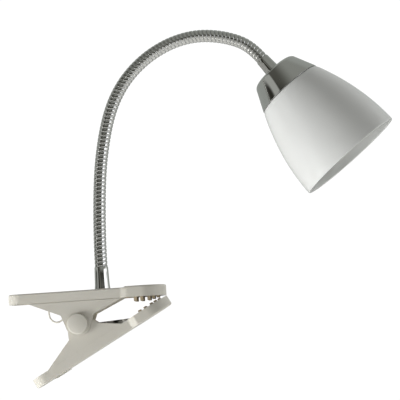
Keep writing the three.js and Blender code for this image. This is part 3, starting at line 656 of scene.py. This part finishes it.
def turned(profile, sides=96):
    """A profile of (radius, height) points in millimetres, spun about Z into a closed body."""
    bm = bmesh.new()
    on_axis = profile[0][0] == 0
    verts = [bm.verts.new((r, 0, z)) for r, z in profile]
    edges = [bm.edges.new(pair) for pair in zip(verts, verts[1:])]
    if not on_axis:
        edges.append(bm.edges.new((verts[-1], verts[0])))
    bmesh.ops.spin(
        bm,
        geom=verts + edges,
        cent=(0, 0, 0),
        axis=(0, 0, 1),
        angle=2 * math.pi,
        steps=sides,
        use_merge=True,
    )
    bmesh.ops.remove_doubles(bm, verts=bm.verts, dist=1e-4)
    bmesh.ops.recalc_face_normals(bm, faces=bm.faces)
    return bm


def turned_piece(name, profile, place, material, body, slot, *replaced, sides=96, edge=0.0):
    """A turned piece set in place by a matrix, with its sharp rims rounded by edge millimetres."""
    bm = turned(profile, sides)
    if edge:
        rounded_edges(bm, edge, 3, lambda e: e.calc_face_angle(0) > math.radians(28))
    bmesh.ops.transform(bm, matrix=place @ Matrix.Scale(mm, 4), verts=bm.verts)
    return make_piece(name, bm, material, body, slot, *replaced)


def finish_node(material, *nodes):
    """Gives CAD nodes that stay in the picture a finished material."""
    for node in nodes:
        materials = frame["nodes"][node].data.materials
        materials.clear()
        materials.append(material)


cap_r = 8.0
cap_t = 3.8
cap_dome = 0.9
cap_grip = 1.9  # depth of the hole for the pin
cap_back_edge = 0.2
dome_half = cap_r - 0.7
cap_rim_r = 0.9
cap_rim_drop = 0.65  # from the dome's edge to the rim's middle
for side, node in ((-1, "pivot_cap_near"), (1, "pivot_cap_far")):
    outward = Matrix.Translation(pivot + Vector((0, side * (upper_cheek_out + 0.3) * mm, 0)))
    outward = outward @ Matrix.Rotation(-side * math.pi / 2, 4, "X")
    dome_r = (cap_r**2 + cap_dome**2) / (2 * cap_dome)
    rise = cap_t - cap_dome
    dome = [
        (dome_r * math.sin(a), rise + dome_r * math.cos(a) - dome_r + cap_dome)
        for a in (math.asin(dome_half / dome_r) * i / 10 for i in range(10, -1, -1))
    ]
    rim = arc((cap_r - cap_rim_r, rise - cap_rim_drop), (cap_rim_r, cap_rim_r), 0, 62, 5)
    hole = [(0, cap_grip), (pin_hole_r, cap_grip), (pin_hole_r, 0)]
    back = [(cap_r - cap_back_edge, 0), (cap_r, cap_back_edge)]
    profile = [*hole, *back, *rim, *dome[1:]]
    turned_piece(
        node + "_button",
        profile,
        outward,
        ivory_plastic,
        "upper_jaw",
        "clip_plastic",
        node,
        sides=80,
    )
finish_node(zinc, "pivot_pin")

# ------------------------------------------------------------------ spring
# A torsion spring of bright wire sits round the pin. One leg bows down behind the upper cheek and
# ends under the upper plate; the other presses on the inside of the lower plate.

bright_wire = skin(
    "pale_spring_wire",
    color=(0.86, 0.84, 0.78),
    tint=(0.76, 0.72, 0.64),
    tint_amount=0.5,
    roughness=0.45,
    spread=0.1,
    patch_scale=300,
    grain_scale=4000,
    ripple=0.000003,
    metallic=0.1,
)

wire_r = 0.7
coil_r = 5.4
coil_turns = 5
coil_pitch = 1.85
leg_foot = plate_h - plate_t - wire_r - 0.3
sweep = 2 * math.pi * coil_turns + math.pi - jaw_angle
coil_half = sweep / (2 * math.pi) * coil_pitch / 2

upper_leg = [
    (-31, leg_foot),
    (-26.5, leg_foot - 0.1),
    (-23.6, 20),
    (-22.9, 14),
    (-23.1, 8),
    (-21.0, 3.8),
    (-17.3, 2.2),
    (-13.6, 3.5),
    (-10.8, 5.2),
    (-6, coil_r + 0.2),
]
lower_leg = [
    (-7, coil_r + 0.9),
    (-18, 13.5),
    (-26.5, leg_foot - 1.5),
    (-29.5, leg_foot),
    (-34.4, leg_foot),
]
route = [Vector((a, -coil_half, h)) for a, h in upper_leg]
coil_steps = math.ceil(sweep / (math.pi / 9))
for i in range(coil_steps + 1):
    wound = sweep * i / coil_steps
    angle = math.pi / 2 - wound
    along = -coil_half + wound / (2 * math.pi) * coil_pitch
    route.append(Vector((coil_r * math.cos(angle), along, coil_r * math.sin(angle))))
cos_jaw, sin_jaw = math.cos(jaw_angle), math.sin(jaw_angle)
route += [
    Vector((a * cos_jaw + h * sin_jaw, coil_half, a * sin_jaw - h * cos_jaw)) for a, h in lower_leg
]


def wire_along(points, radius, sides, steps):
    """A bmesh of round wire through the points."""
    curve = bpy.data.curves.new("wire", "CURVE")
    curve.dimensions = "3D"
    curve.bevel_depth = radius
    curve.bevel_resolution = sides // 4
    curve.resolution_u = steps
    curve.use_fill_caps = True
    spline = curve.splines.new("BEZIER")
    spline.bezier_points.add(len(points) - 1)
    for knot, place in zip(spline.bezier_points, points):
        knot.co = place
        knot.handle_left_type = knot.handle_right_type = "AUTO"
    carrier = bpy.data.objects.new("wire", curve)
    bpy.context.scene.collection.objects.link(carrier)
    bpy.context.view_layer.update()
    bm = bmesh.new()
    swept = carrier.evaluated_get(bpy.context.evaluated_depsgraph_get())
    mesh = bpy.data.meshes.new_from_object(swept)
    bm.from_mesh(mesh)
    bpy.data.meshes.remove(mesh)
    bpy.data.objects.remove(carrier)
    bpy.data.curves.remove(curve)
    bmesh.ops.remove_doubles(bm, verts=bm.verts, dist=radius * 0.01)
    bmesh.ops.recalc_face_normals(bm, faces=bm.faces)
    return bm


bm = wire_along(route, wire_r, 12, 4)
bmesh.ops.transform(bm, matrix=to_upper, verts=bm.verts)
spring = make_piece("torsion_spring_wire", bm, bright_wire, None, "spring_steel", "torsion_spring")
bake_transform(spring)

# ------------------------------------------------------------------ neck fixings in the clip
# A hollow stud passes through the plate and is held below it by a washer and a hexagon nut. An
# ivory bush lines its lower end where the cord would enter.

holder_white = skin(
    "white_holder_plastic",
    color=(0.74, 0.73, 0.69),
    tint=(0.66, 0.65, 0.6),
    tint_amount=0.3,
    roughness=0.42,
    spread=0.12,
    patch_scale=60,
    grain_scale=1800,
    ripple=0.00001,
)

finish_node(zinc, "base_stud", "base_washer")
nut_rounding = 0.4 * mm
nut = make_piece("base_nut_hex", copy_of("base_nut"), zinc, "upper_jaw", "zinc_steel", "base_nut")
soft_edges(nut, nut_rounding, 3)

bush_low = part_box("cord_outlet_bush")[0]
bush_hole = 1.4
bush_flange_r = 4.7
bush_flange_t = 1.8
bush_edge = 0.6
bush_sleeve_r = 2.9
bush_length = 5
bush_profile = [
    (bush_hole, -bush_flange_t),
    (bush_flange_r - bush_edge, -bush_flange_t),
    (bush_flange_r, bush_edge - bush_flange_t),
    (bush_flange_r, 0),
    (bush_sleeve_r, 0),
    (bush_sleeve_r, bush_length),
    (bush_hole, bush_length),
]
bush_place = Matrix.Translation((neck_foot.x, 0, bush_low.z + bush_flange_t * mm))
turned_piece(
    "cord_outlet_bush_ring",
    bush_profile,
    bush_place,
    holder_white,
    "upper_jaw",
    "holder_plastic",
    "cord_outlet_bush",
    sides=48,
    edge=0.25,
)

# ------------------------------------------------------------------ base ferrule
# A tapered chrome-plated sleeve screws onto the stud, down to the plate, and grips the neck's foot.

chrome = skin(
    "bright_chrome",
    color=(0.66, 0.66, 0.64),
    tint=(0.58, 0.58, 0.55),
    tint_amount=0.5,
    roughness=0.07,
    spread=0.05,
    patch_scale=45,
    grain_scale=600,
    ripple=0.000002,
    metallic=1.0,
)

ferrule_thin_r = 5.4
spigot_bore = 4.5
stud_bore = 5.2
stud_entry = 6.3


def ferrule_profile(length, thick_r):
    """A sleeve, thick end at zero, with a shallow flare at its foot."""
    return [
        (stud_bore, 0),
        (thick_r, 0),
        (thick_r, 0.5),
        (thick_r - 0.35, 3.0),
        (ferrule_thin_r + 0.15, length * 0.7),
        (ferrule_thin_r, length - 0.6),
        (ferrule_thin_r - 0.25, length),
        (spigot_bore, length),
        (spigot_bore, stud_entry),
        (stud_bore, stud_entry),
    ]


base_low, base_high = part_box("base_ferrule")
turned_piece(
    "base_ferrule_sleeve",
    ferrule_profile((base_high.z - base_low.z) / mm, (base_high.x - base_low.x) / 2 / mm),
    Matrix.Translation((neck_foot.x, 0, base_low.z)),
    chrome,
    "upper_jaw",
    "chrome",
    "base_ferrule",
    edge=0.2,
)

# ------------------------------------------------------------------ gooseneck
# The neck is two rounded chromed strips wound side by side over slimmer wires that follow their
# grooves, round the black lead. Each stretch runs from the middle of one link to the middle of
# the next, and bends between them.

neck_joints = [j for j in frame["joints"] if j["name"].startswith("neck_")]
knuckles = [Vector(j["pos_m"]) for j in neck_joints]
link_length = (knuckles[1] - knuckles[0]).length


def middle_of(node):
    """Mean of the distinct corners of a turned CAD node, which lies on its axis."""
    bm = bmesh.new()
    bm.from_mesh(frame["nodes"][node].data)
    bmesh.ops.remove_doubles(bm, verts=bm.verts, dist=1e-6)
    middle = sum((v.co for v in bm.verts), Vector()) / len(bm.verts)
    bm.free()
    return middle


head_axis = (middle_of("neck_top") - knuckles[-1]).normalized()
headings = [Vector((0, 0, 1))]
headings += [(b - a).normalized() for a, b in zip(knuckles, knuckles[1:])]
headings.append(head_axis)

neck_r = 5.0 * mm
strip_width = 2.85 * mm
strip_thickness = 1.7 * mm
strip_corner = 0.62 * mm
core_wire_r = 0.7 * mm
core_r = 4.0 * mm  # of the core wire's middle
strip_starts = 2  # strips wound side by side
turns_per_link = 3.7
strip_lead = link_length / turns_per_link
strip_steps = 28  # facets in a turn of the strip
core_steps = 20
tuck = 6.5 * mm  # length of neck inside each ferrule


def helix(section, radius, start_turn, from_z, to_z, steps_per_turn):
    """Winds a flat section, drawn in the XZ plane about its middle, round Z between two heights."""
    bm = section
    bmesh.ops.translate(bm, verts=bm.verts, vec=(radius, 0, from_z))
    one_strip = bm.verts[:] + bm.edges[:] + bm.faces[:]
    for k in range(1, strip_starts):
        copied = bmesh.ops.duplicate(bm, geom=one_strip)["geom"]
        placed = [v for v in copied if isinstance(v, bmesh.types.BMVert)]
        share = Matrix.Rotation(2 * math.pi * k / strip_starts, 3, "Z")
        bmesh.ops.rotate(bm, verts=placed, cent=(0, 0, 0), matrix=share)
    turns = (to_z - from_z) / strip_lead
    first = Matrix.Rotation(2 * math.pi * (start_turn + from_z / strip_lead), 3, "Z")
    bmesh.ops.rotate(bm, verts=bm.verts, cent=(0, 0, 0), matrix=first)
    steps = max(8, round(turns * steps_per_turn))
    bmesh.ops.spin(
        bm,
        geom=bm.verts[:] + bm.edges[:] + bm.faces[:],
        cent=(0, 0, 0),
        axis=(0, 0, 1),
        dvec=(0, 0, (to_z - from_z) / steps),
        angle=2 * math.pi * turns,
        steps=steps,
    )
    bmesh.ops.recalc_face_normals(bm, faces=bm.faces)
    return bm


def strip_section():
    """The wound strip's section: a block with well rounded corners."""
    bm = bmesh.new()
    bmesh.ops.create_grid(bm, x_segments=1, y_segments=1, size=0.5)
    bmesh.ops.scale(bm, verts=bm.verts, vec=(strip_thickness, strip_width, 1))
    bmesh.ops.bevel(
        bm,
        geom=bm.verts[:],
        offset=strip_corner,
        segments=3,
        profile=0.5,
        affect="VERTICES",
        material=-1,
    )
    bmesh.ops.rotate(bm, verts=bm.verts, cent=(0, 0, 0), matrix=stand_up)
    return bm


def round_section(radius, sides):
    bm = bmesh.new()
    bmesh.ops.create_circle(bm, cap_ends=True, segments=sides, radius=radius)
    bmesh.ops.rotate(bm, verts=bm.verts, cent=(0, 0, 0), matrix=stand_up)
    return bm


def bent(bm, start, end, across, before, after):
    """Bends a straight run of one link length along Z into a smooth bow from start to end."""
    reach = (end - start).length * 1.02
    other = before.cross(across)
    for v in bm.verts:
        u = min(1.0, max(0.0, v.co.z / link_length))
        beyond = v.co.z - u * link_length
        place = (
            start * (2 * u**3 - 3 * u**2 + 1)
            + before * reach * (u**3 - 2 * u**2 + u)
            + end * (3 * u**2 - 2 * u**3)
            + after * reach * (u**3 - u**2)
        )
        slope = (end - start) * (6 * u - 6 * u**2)
        slope += before * reach * (3 * u**2 - 4 * u + 1) + after * reach * (3 * u**2 - 2 * u)
        swing = before.rotation_difference(slope)
        v.co = place + swing @ (across * v.co.x + other * v.co.y + before * beyond)
    return bm


lead_jacket = skin(
    "dark_lead_jacket",
    color=(0.03, 0.03, 0.032),
    tint=(0.05, 0.05, 0.05),
    tint_amount=0.5,
    roughness=0.45,
    spread=0.1,
    patch_scale=200,
    grain_scale=3000,
    ripple=0.00001,
)
lead_r = 1.1 * mm

# The points between stretches lie outside the links' axes, so that the bends come out round.
stations = [knuckles[0] - headings[0] * (link_length / 2)]
for i in range(len(knuckles) - 1):
    inside = headings[i + 2] - headings[i]
    inside = (inside - headings[i + 1] * inside.dot(headings[i + 1])).normalized()
    bends = headings[i].angle(headings[i + 1]) + headings[i + 1].angle(headings[i + 2])
    stations.append((knuckles[i] + knuckles[i + 1]) / 2 - inside * (link_length * bends / 16))
stations.append(knuckles[-1] + headings[-1] * (link_length / 2))

across = Vector((1, 0, 0))
neck_pieces = len(neck_joints)
neck_bodies = frame["record"]["behaviour"]["bodies"]
for i, joint in enumerate(neck_joints):
    before, after = headings[i], headings[i + 1]
    start, end = stations[i], stations[i + 1]
    from_z = -tuck if i == 0 else 0.0
    to_z = link_length + (tuck if i == neck_pieces - 1 else 0.0)
    number = f"{i + 1:02d}"
    nodes = [n for n in neck_bodies[joint["child"]] if n.startswith("neck_")]
    nodes += ["neck_foot"] * (i == 0)
    phase = i * turns_per_link
    strip_middle = neck_r - strip_thickness / 2
    winding = helix(strip_section(), strip_middle, phase, from_z, to_z, strip_steps)
    between_strips = phase + 0.5 / strip_starts
    core = helix(round_section(core_wire_r, 6), core_r, between_strips, from_z, to_z, core_steps)
    inner = bmesh.new()
    bmesh.ops.create_cone(
        inner, cap_ends=True, segments=14, radius1=lead_r, radius2=lead_r, depth=to_z - from_z
    )
    bmesh.ops.translate(inner, verts=inner.verts, vec=(0, 0, (from_z + to_z) / 2))
    along = [e for e in inner.edges if abs(e.verts[0].co.z - e.verts[1].co.z) > link_length / 2]
    bmesh.ops.subdivide_edges(inner, edges=along, cuts=14, use_grid_fill=True)
    for name, bm, material, slot, replaced in (
        ("neck_winding_", winding, chrome, "chrome", nodes),
        ("neck_core_wire_", core, zinc, "chrome", nodes),
        ("inner_lead_", inner, lead_jacket, "flex_jacket", ["inner_flex"]),
    ):
        bent(bm, start, end, across, before, after)
        piece = make_piece(name + number, bm, material, None, slot, *replaced, crease=60)
        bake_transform(piece)
    across = before.rotation_difference(after) @ across

# ------------------------------------------------------------------ top ferrule and stud
# The same tapered chrome sleeve, thick end outward, joins the neck to the stud of the lamp head. A
# nut on the stud clamps the head's cap to the lampholder.

across_head = Vector((0, 1, 0)).cross(head_axis).normalized()
side_head = head_axis.cross(across_head)
turn_to_head = Matrix((across_head, side_head, head_axis)).transposed().to_4x4()
to_head = Matrix.Translation(stations[-1]) @ turn_to_head

top_length = 13.9
top_gap = 0.3  # between the ferrule and the cap's place
top_thick_r = 6.3
turned_piece(
    "top_ferrule_sleeve",
    [(r, top_length - z) for r, z in ferrule_profile(top_length - top_gap, top_thick_r)],
    to_head,
    chrome,
    "head",
    "chrome",
    "top_ferrule",
    edge=0.2,
)
finish_node(zinc, "head_stud", "head_nut")

# ------------------------------------------------------------------ head cap
# A spun chrome-plated cap with a softly rounded shoulder. Its lip just covers the top of the shade.

cap_wall = 0.9
crown_w = top_length + 0.2
crown_r = 14.0
crown_hole = 5.6
bend_middle = (15.6, top_length + 5.2)
bend_radii = (5.3, 5.0)
lip_r = 27.9
lip_w = 34.0
lip_flare = 0.1
lip_band = 0.6
shoulder = arc(bend_middle, bend_radii, -90, -26, 9)
side = [(lip_r - lip_flare, lip_w - lip_band), (lip_r, lip_w)]
outside = [(crown_hole, crown_w), (crown_r, crown_w), *shoulder, *side]
inside = [(r - cap_wall, w) for r, w in reversed(side)]
# The shoulder slopes, so its inside lies in and down from its outside.
inside += [(r - cap_wall * 0.9, w + cap_wall * 0.45) for r, w in reversed(shoulder)]
inside += [(crown_r, crown_w + cap_wall), (crown_hole, crown_w + cap_wall)]
turned_piece(
    "head_cap_spinning",
    outside + inside,
    to_head,
    chrome,
    "head",
    "chrome",
    "head_cap",
    sides=128,
    edge=0.15,
)

# ------------------------------------------------------------------ shade
# The shade is moulded in glossy white plastic: a bell with a thin rounded rim, and a stepped neck
# inside the cap whose flange the lampholder grips.

shade_white = skin(
    "glossy_shade_plastic",
    color=(0.80, 0.81, 0.80),
    tint=(0.76, 0.77, 0.76),
    tint_amount=0.4,
    roughness=0.16,
    spread=0.06,
    patch_scale=18,
    grain_scale=500,
    ripple=0.000004,
)
shade_shader = shade_white.node_tree.nodes["Principled BSDF"]
shade_shader.inputs["Coat Weight"].default_value = 0.35
shade_shader.inputs["Coat Roughness"].default_value = 0.05

shade_top_w = 34.3
shade_mouth_w = 106.3
shade_top_r = 28.0
shade_mouth_r = 43.9
shade_bulge = 3.9
shade_wall = 1.6
shade_steps = 36
shoulder_round = 0.8
shade_neck_r = 24.8
shade_flange_w = 31.0
holder_hole = 14.3


def shade_radius(share):
    """Outer radius from the shade's shoulder, 0, to its mouth, 1."""
    straight = shade_top_r + (shade_mouth_r - shade_top_r) * share
    return straight + 4 * shade_bulge * share * (1 - share)


side_shares = [i / shade_steps for i in range(shade_steps + 1)]
outer = [(shade_radius(s), shade_top_w + (shade_mouth_w - shade_top_w) * s) for s in side_shares]
inner = [(r - shade_wall, w) for r, w in reversed(outer)]
shoulder_middle = (shade_top_r - shoulder_round, shade_top_w + shoulder_round)
shoulder = arc(shoulder_middle, (shoulder_round, shoulder_round), -90, 0, 6)
rim_r = shade_wall / 2
rim = arc((outer[-1][0] - rim_r, shade_mouth_w - rim_r), (rim_r, rim_r), 0, 180, 8)
profile = (
    [(holder_hole, shade_flange_w), (shade_neck_r, shade_flange_w), (shade_neck_r, shade_top_w)]
    + shoulder
    + outer[1:-1]
    + rim
    + inner[1:-1]
    + [
        (shade_top_r - shade_wall, shade_top_w + shade_wall),
        (shade_neck_r - shade_wall, shade_top_w + shade_wall),
        (shade_neck_r - shade_wall, shade_flange_w + shade_wall),
        (holder_hole, shade_flange_w + shade_wall),
    ]
)
turned_piece(
    "shade_bell",
    profile,
    to_head,
    shade_white,
    "head",
    "shade_plastic",
    "shade",
    sides=144,
    edge=0.25,
)

# ------------------------------------------------------------------ lampholder
# A screw-cap lampholder in white plastic. Its skirt hangs through the shade, a notched ring
# screws up under the flange, and a domed top closes it round the stud inside the cap.

holder_r = 13.8
collar_low = 29.3
collar_r = 16.5
collar_t = 1.4
recess_r = holder_r - 2.2
recess_depth = 1.8
skirt = [
    (0, collar_low + recess_depth),
    (recess_r, collar_low + recess_depth),
    (recess_r, collar_low),
    (collar_r, collar_low),
    (collar_r, collar_low + collar_t),
    (holder_r, collar_low + collar_t),
]
thread_low = 39.5
thread_pitch = 1.6
thread_turns = 9
thread_root = holder_r - 0.35
for i in range(thread_turns):
    w = thread_low + i * thread_pitch
    skirt += [(thread_root, w), (holder_r, w + thread_pitch / 2)]
thread_end = 54.6
lip_start = 55.2
lip_end = 58.4
skirt_end = 59
bore_r = 8.3
bore_floor = 34.4
mouth_edge = 0.5
skirt += [(thread_root, thread_end), (holder_r, lip_start), (holder_r, lip_end)]
skirt += [(holder_r - mouth_edge, skirt_end)]
skirt += [(bore_r + mouth_edge, skirt_end), (bore_r, skirt_end - mouth_edge)]
skirt += [(bore_r, bore_floor), (0, bore_floor)]
turned_piece(
    "holder_skirt_moulding",
    skirt,
    to_head,
    holder_white,
    "head",
    "holder_plastic",
    "holder_skirt",
    sides=64,
)

ring_low = 32.9
ring_bore = 14.1
ring_r = 19.5
ring_t = 6
ring_edge = 0.3
ring_hub_r = 16.9
ring_notches = 8
notch_r = 1.3
ring_profile = [
    (ring_bore, ring_low),
    (ring_r - ring_edge, ring_low),
    (ring_r, ring_low + ring_edge),
    (ring_r, ring_low + 1.4),
    (ring_hub_r + 0.4, ring_low + 2.4),
    (ring_hub_r, ring_low + ring_t - ring_edge),
    (ring_hub_r - ring_edge, ring_low + ring_t),
    (ring_bore, ring_low + ring_t),
]
bm = turned(ring_profile, 96)
for i in range(ring_notches):
    a = 2 * math.pi * i / ring_notches
    middle = (ring_r * math.cos(a), ring_r * math.sin(a))
    notch = round_bar(notch_r, middle, ring_low - 1, ring_low + ring_t + 1, 16)
    bm = combined(bm, notch, "DIFFERENCE")
bmesh.ops.transform(bm, matrix=to_head @ Matrix.Scale(mm, 4), verts=bm.verts)
make_piece("shade_ring_moulding", bm, holder_white, "head", "holder_plastic", "shade_ring")

finish_node(holder_white, "holder_top")

brass = skin(
    "contact_brass",
    color=(0.62, 0.44, 0.18),
    tint=(0.42, 0.29, 0.12),
    tint_amount=0.6,
    roughness=0.3,
    spread=0.2,
    patch_scale=200,
    grain_scale=3000,
    ripple=0.000004,
    metallic=1.0,
)
finish_node(brass, "centre_contact", "side_contact", "terminal_screw_1", "terminal_screw_2")

# ------------------------------------------------------------------ bulb
# A small reflector bulb: a rolled screw shell with its dark insulator and tip, a white flared body
# and an opal front that stands inside the shade.

bulb_metal = skin(
    "bulb_shell_metal",
    color=(0.60, 0.61, 0.61),
    tint=(0.5, 0.5, 0.5),
    tint_amount=0.4,
    roughness=0.28,
    spread=0.1,
    patch_scale=300,
    grain_scale=3000,
    ripple=0.000003,
    metallic=1.0,
)
bulb_body_white = skin(
    "white_bulb_body",
    color=(0.78, 0.78, 0.75),
    tint=(0.7, 0.7, 0.67),
    tint_amount=0.3,
    roughness=0.38,
    spread=0.1,
    patch_scale=60,
    grain_scale=1500,
    ripple=0.000006,
)
bulb_opal = skin(
    "opal_bulb_front",
    color=(0.82, 0.81, 0.77),
    tint=(0.78, 0.77, 0.72),
    tint_amount=0.3,
    roughness=0.3,
    spread=0.08,
    patch_scale=40,
    grain_scale=900,
    ripple=0.000008,
)
opal_shader = bulb_opal.node_tree.nodes["Principled BSDF"]
opal_shader.inputs["Subsurface Weight"].default_value = 0.3
opal_shader.inputs["Subsurface Radius"].default_value = (0.006, 0.005, 0.004)

tip_w = 35.4
insulator_w = tip_w + 0.9
shell_w = insulator_w + 2.2
body_w = shell_w + 17
lens_w = body_w + 31

bulb_gap = 0.1  # between the bulb's pieces
shell_r = 6.9
shell_root = 6.3
shell_flank = 6.68
shell_pitch = 2.82
shell_turns = 5
shell_start = 0.6
shell = [(0, shell_w), (shell_root - shell_start, shell_w)]
for i in range(shell_turns):
    w = shell_w + shell_start + i * shell_pitch
    shell += [(shell_root, w), (shell_flank, w + 0.7)]
    shell += [(shell_r, w + shell_pitch / 2), (shell_flank, w + 2.1)]
shell += [(shell_root, shell_w + shell_start + shell_turns * shell_pitch)]
shell += [(shell_root, body_w - bulb_gap), (0, body_w - bulb_gap)]
turned_piece(
    "bulb_shell_thread", shell, to_head, bulb_metal, "head", "bulb_metal", "bulb_shell", sides=48
)

bulb_r = 19.5
bulb_neck_r = 7.7
neck_edge = 0.3
body_end = lens_w - bulb_gap
flare = [(bulb_neck_r, body_w + 4), (9.4, body_w + 6), (12.1, body_w + 9.2), (14.8, body_w + 14)]
flare += [(16.9, body_w + 19.2), (18.6, body_w + 25), (bulb_r, body_w + 29.5), (bulb_r, body_end)]
foot = [(0, body_w), (bulb_neck_r - neck_edge, body_w), (bulb_neck_r, body_w + neck_edge)]
turned_piece(
    "bulb_body_flared",
    [*foot, *flare, (0, body_end)],
    to_head,
    bulb_body_white,
    "head",
    "bulb_plastic",
    "bulb_body",
    sides=96,
    edge=0.3,
)

lens_edge = 18.7
lens_rim = 1.0
lens_rise = 4.6
dome = [
    (lens_edge * math.cos(a), lens_w + lens_rim + lens_rise * math.sin(a))
    for a in (math.pi / 2 * i / 12 for i in range(13))
]
dome[-1] = (0, dome[-1][1])
lens = [(0, lens_w), (lens_edge, lens_w), *dome]
turned_piece(
    "bulb_front_opal", lens, to_head, bulb_opal, "head", "bulb_opal", "bulb_lens", sides=96
)

black_insulator = skin(
    "black_insulator",
    color=(0.02, 0.02, 0.02),
    tint=(0.03, 0.03, 0.03),
    tint_amount=0.3,
    roughness=0.3,
    spread=0.1,
    patch_scale=200,
    grain_scale=2000,
    ripple=0.000004,
)
finish_node(black_insulator, "bulb_insulator")
finish_node(bulb_metal, "bulb_tip")
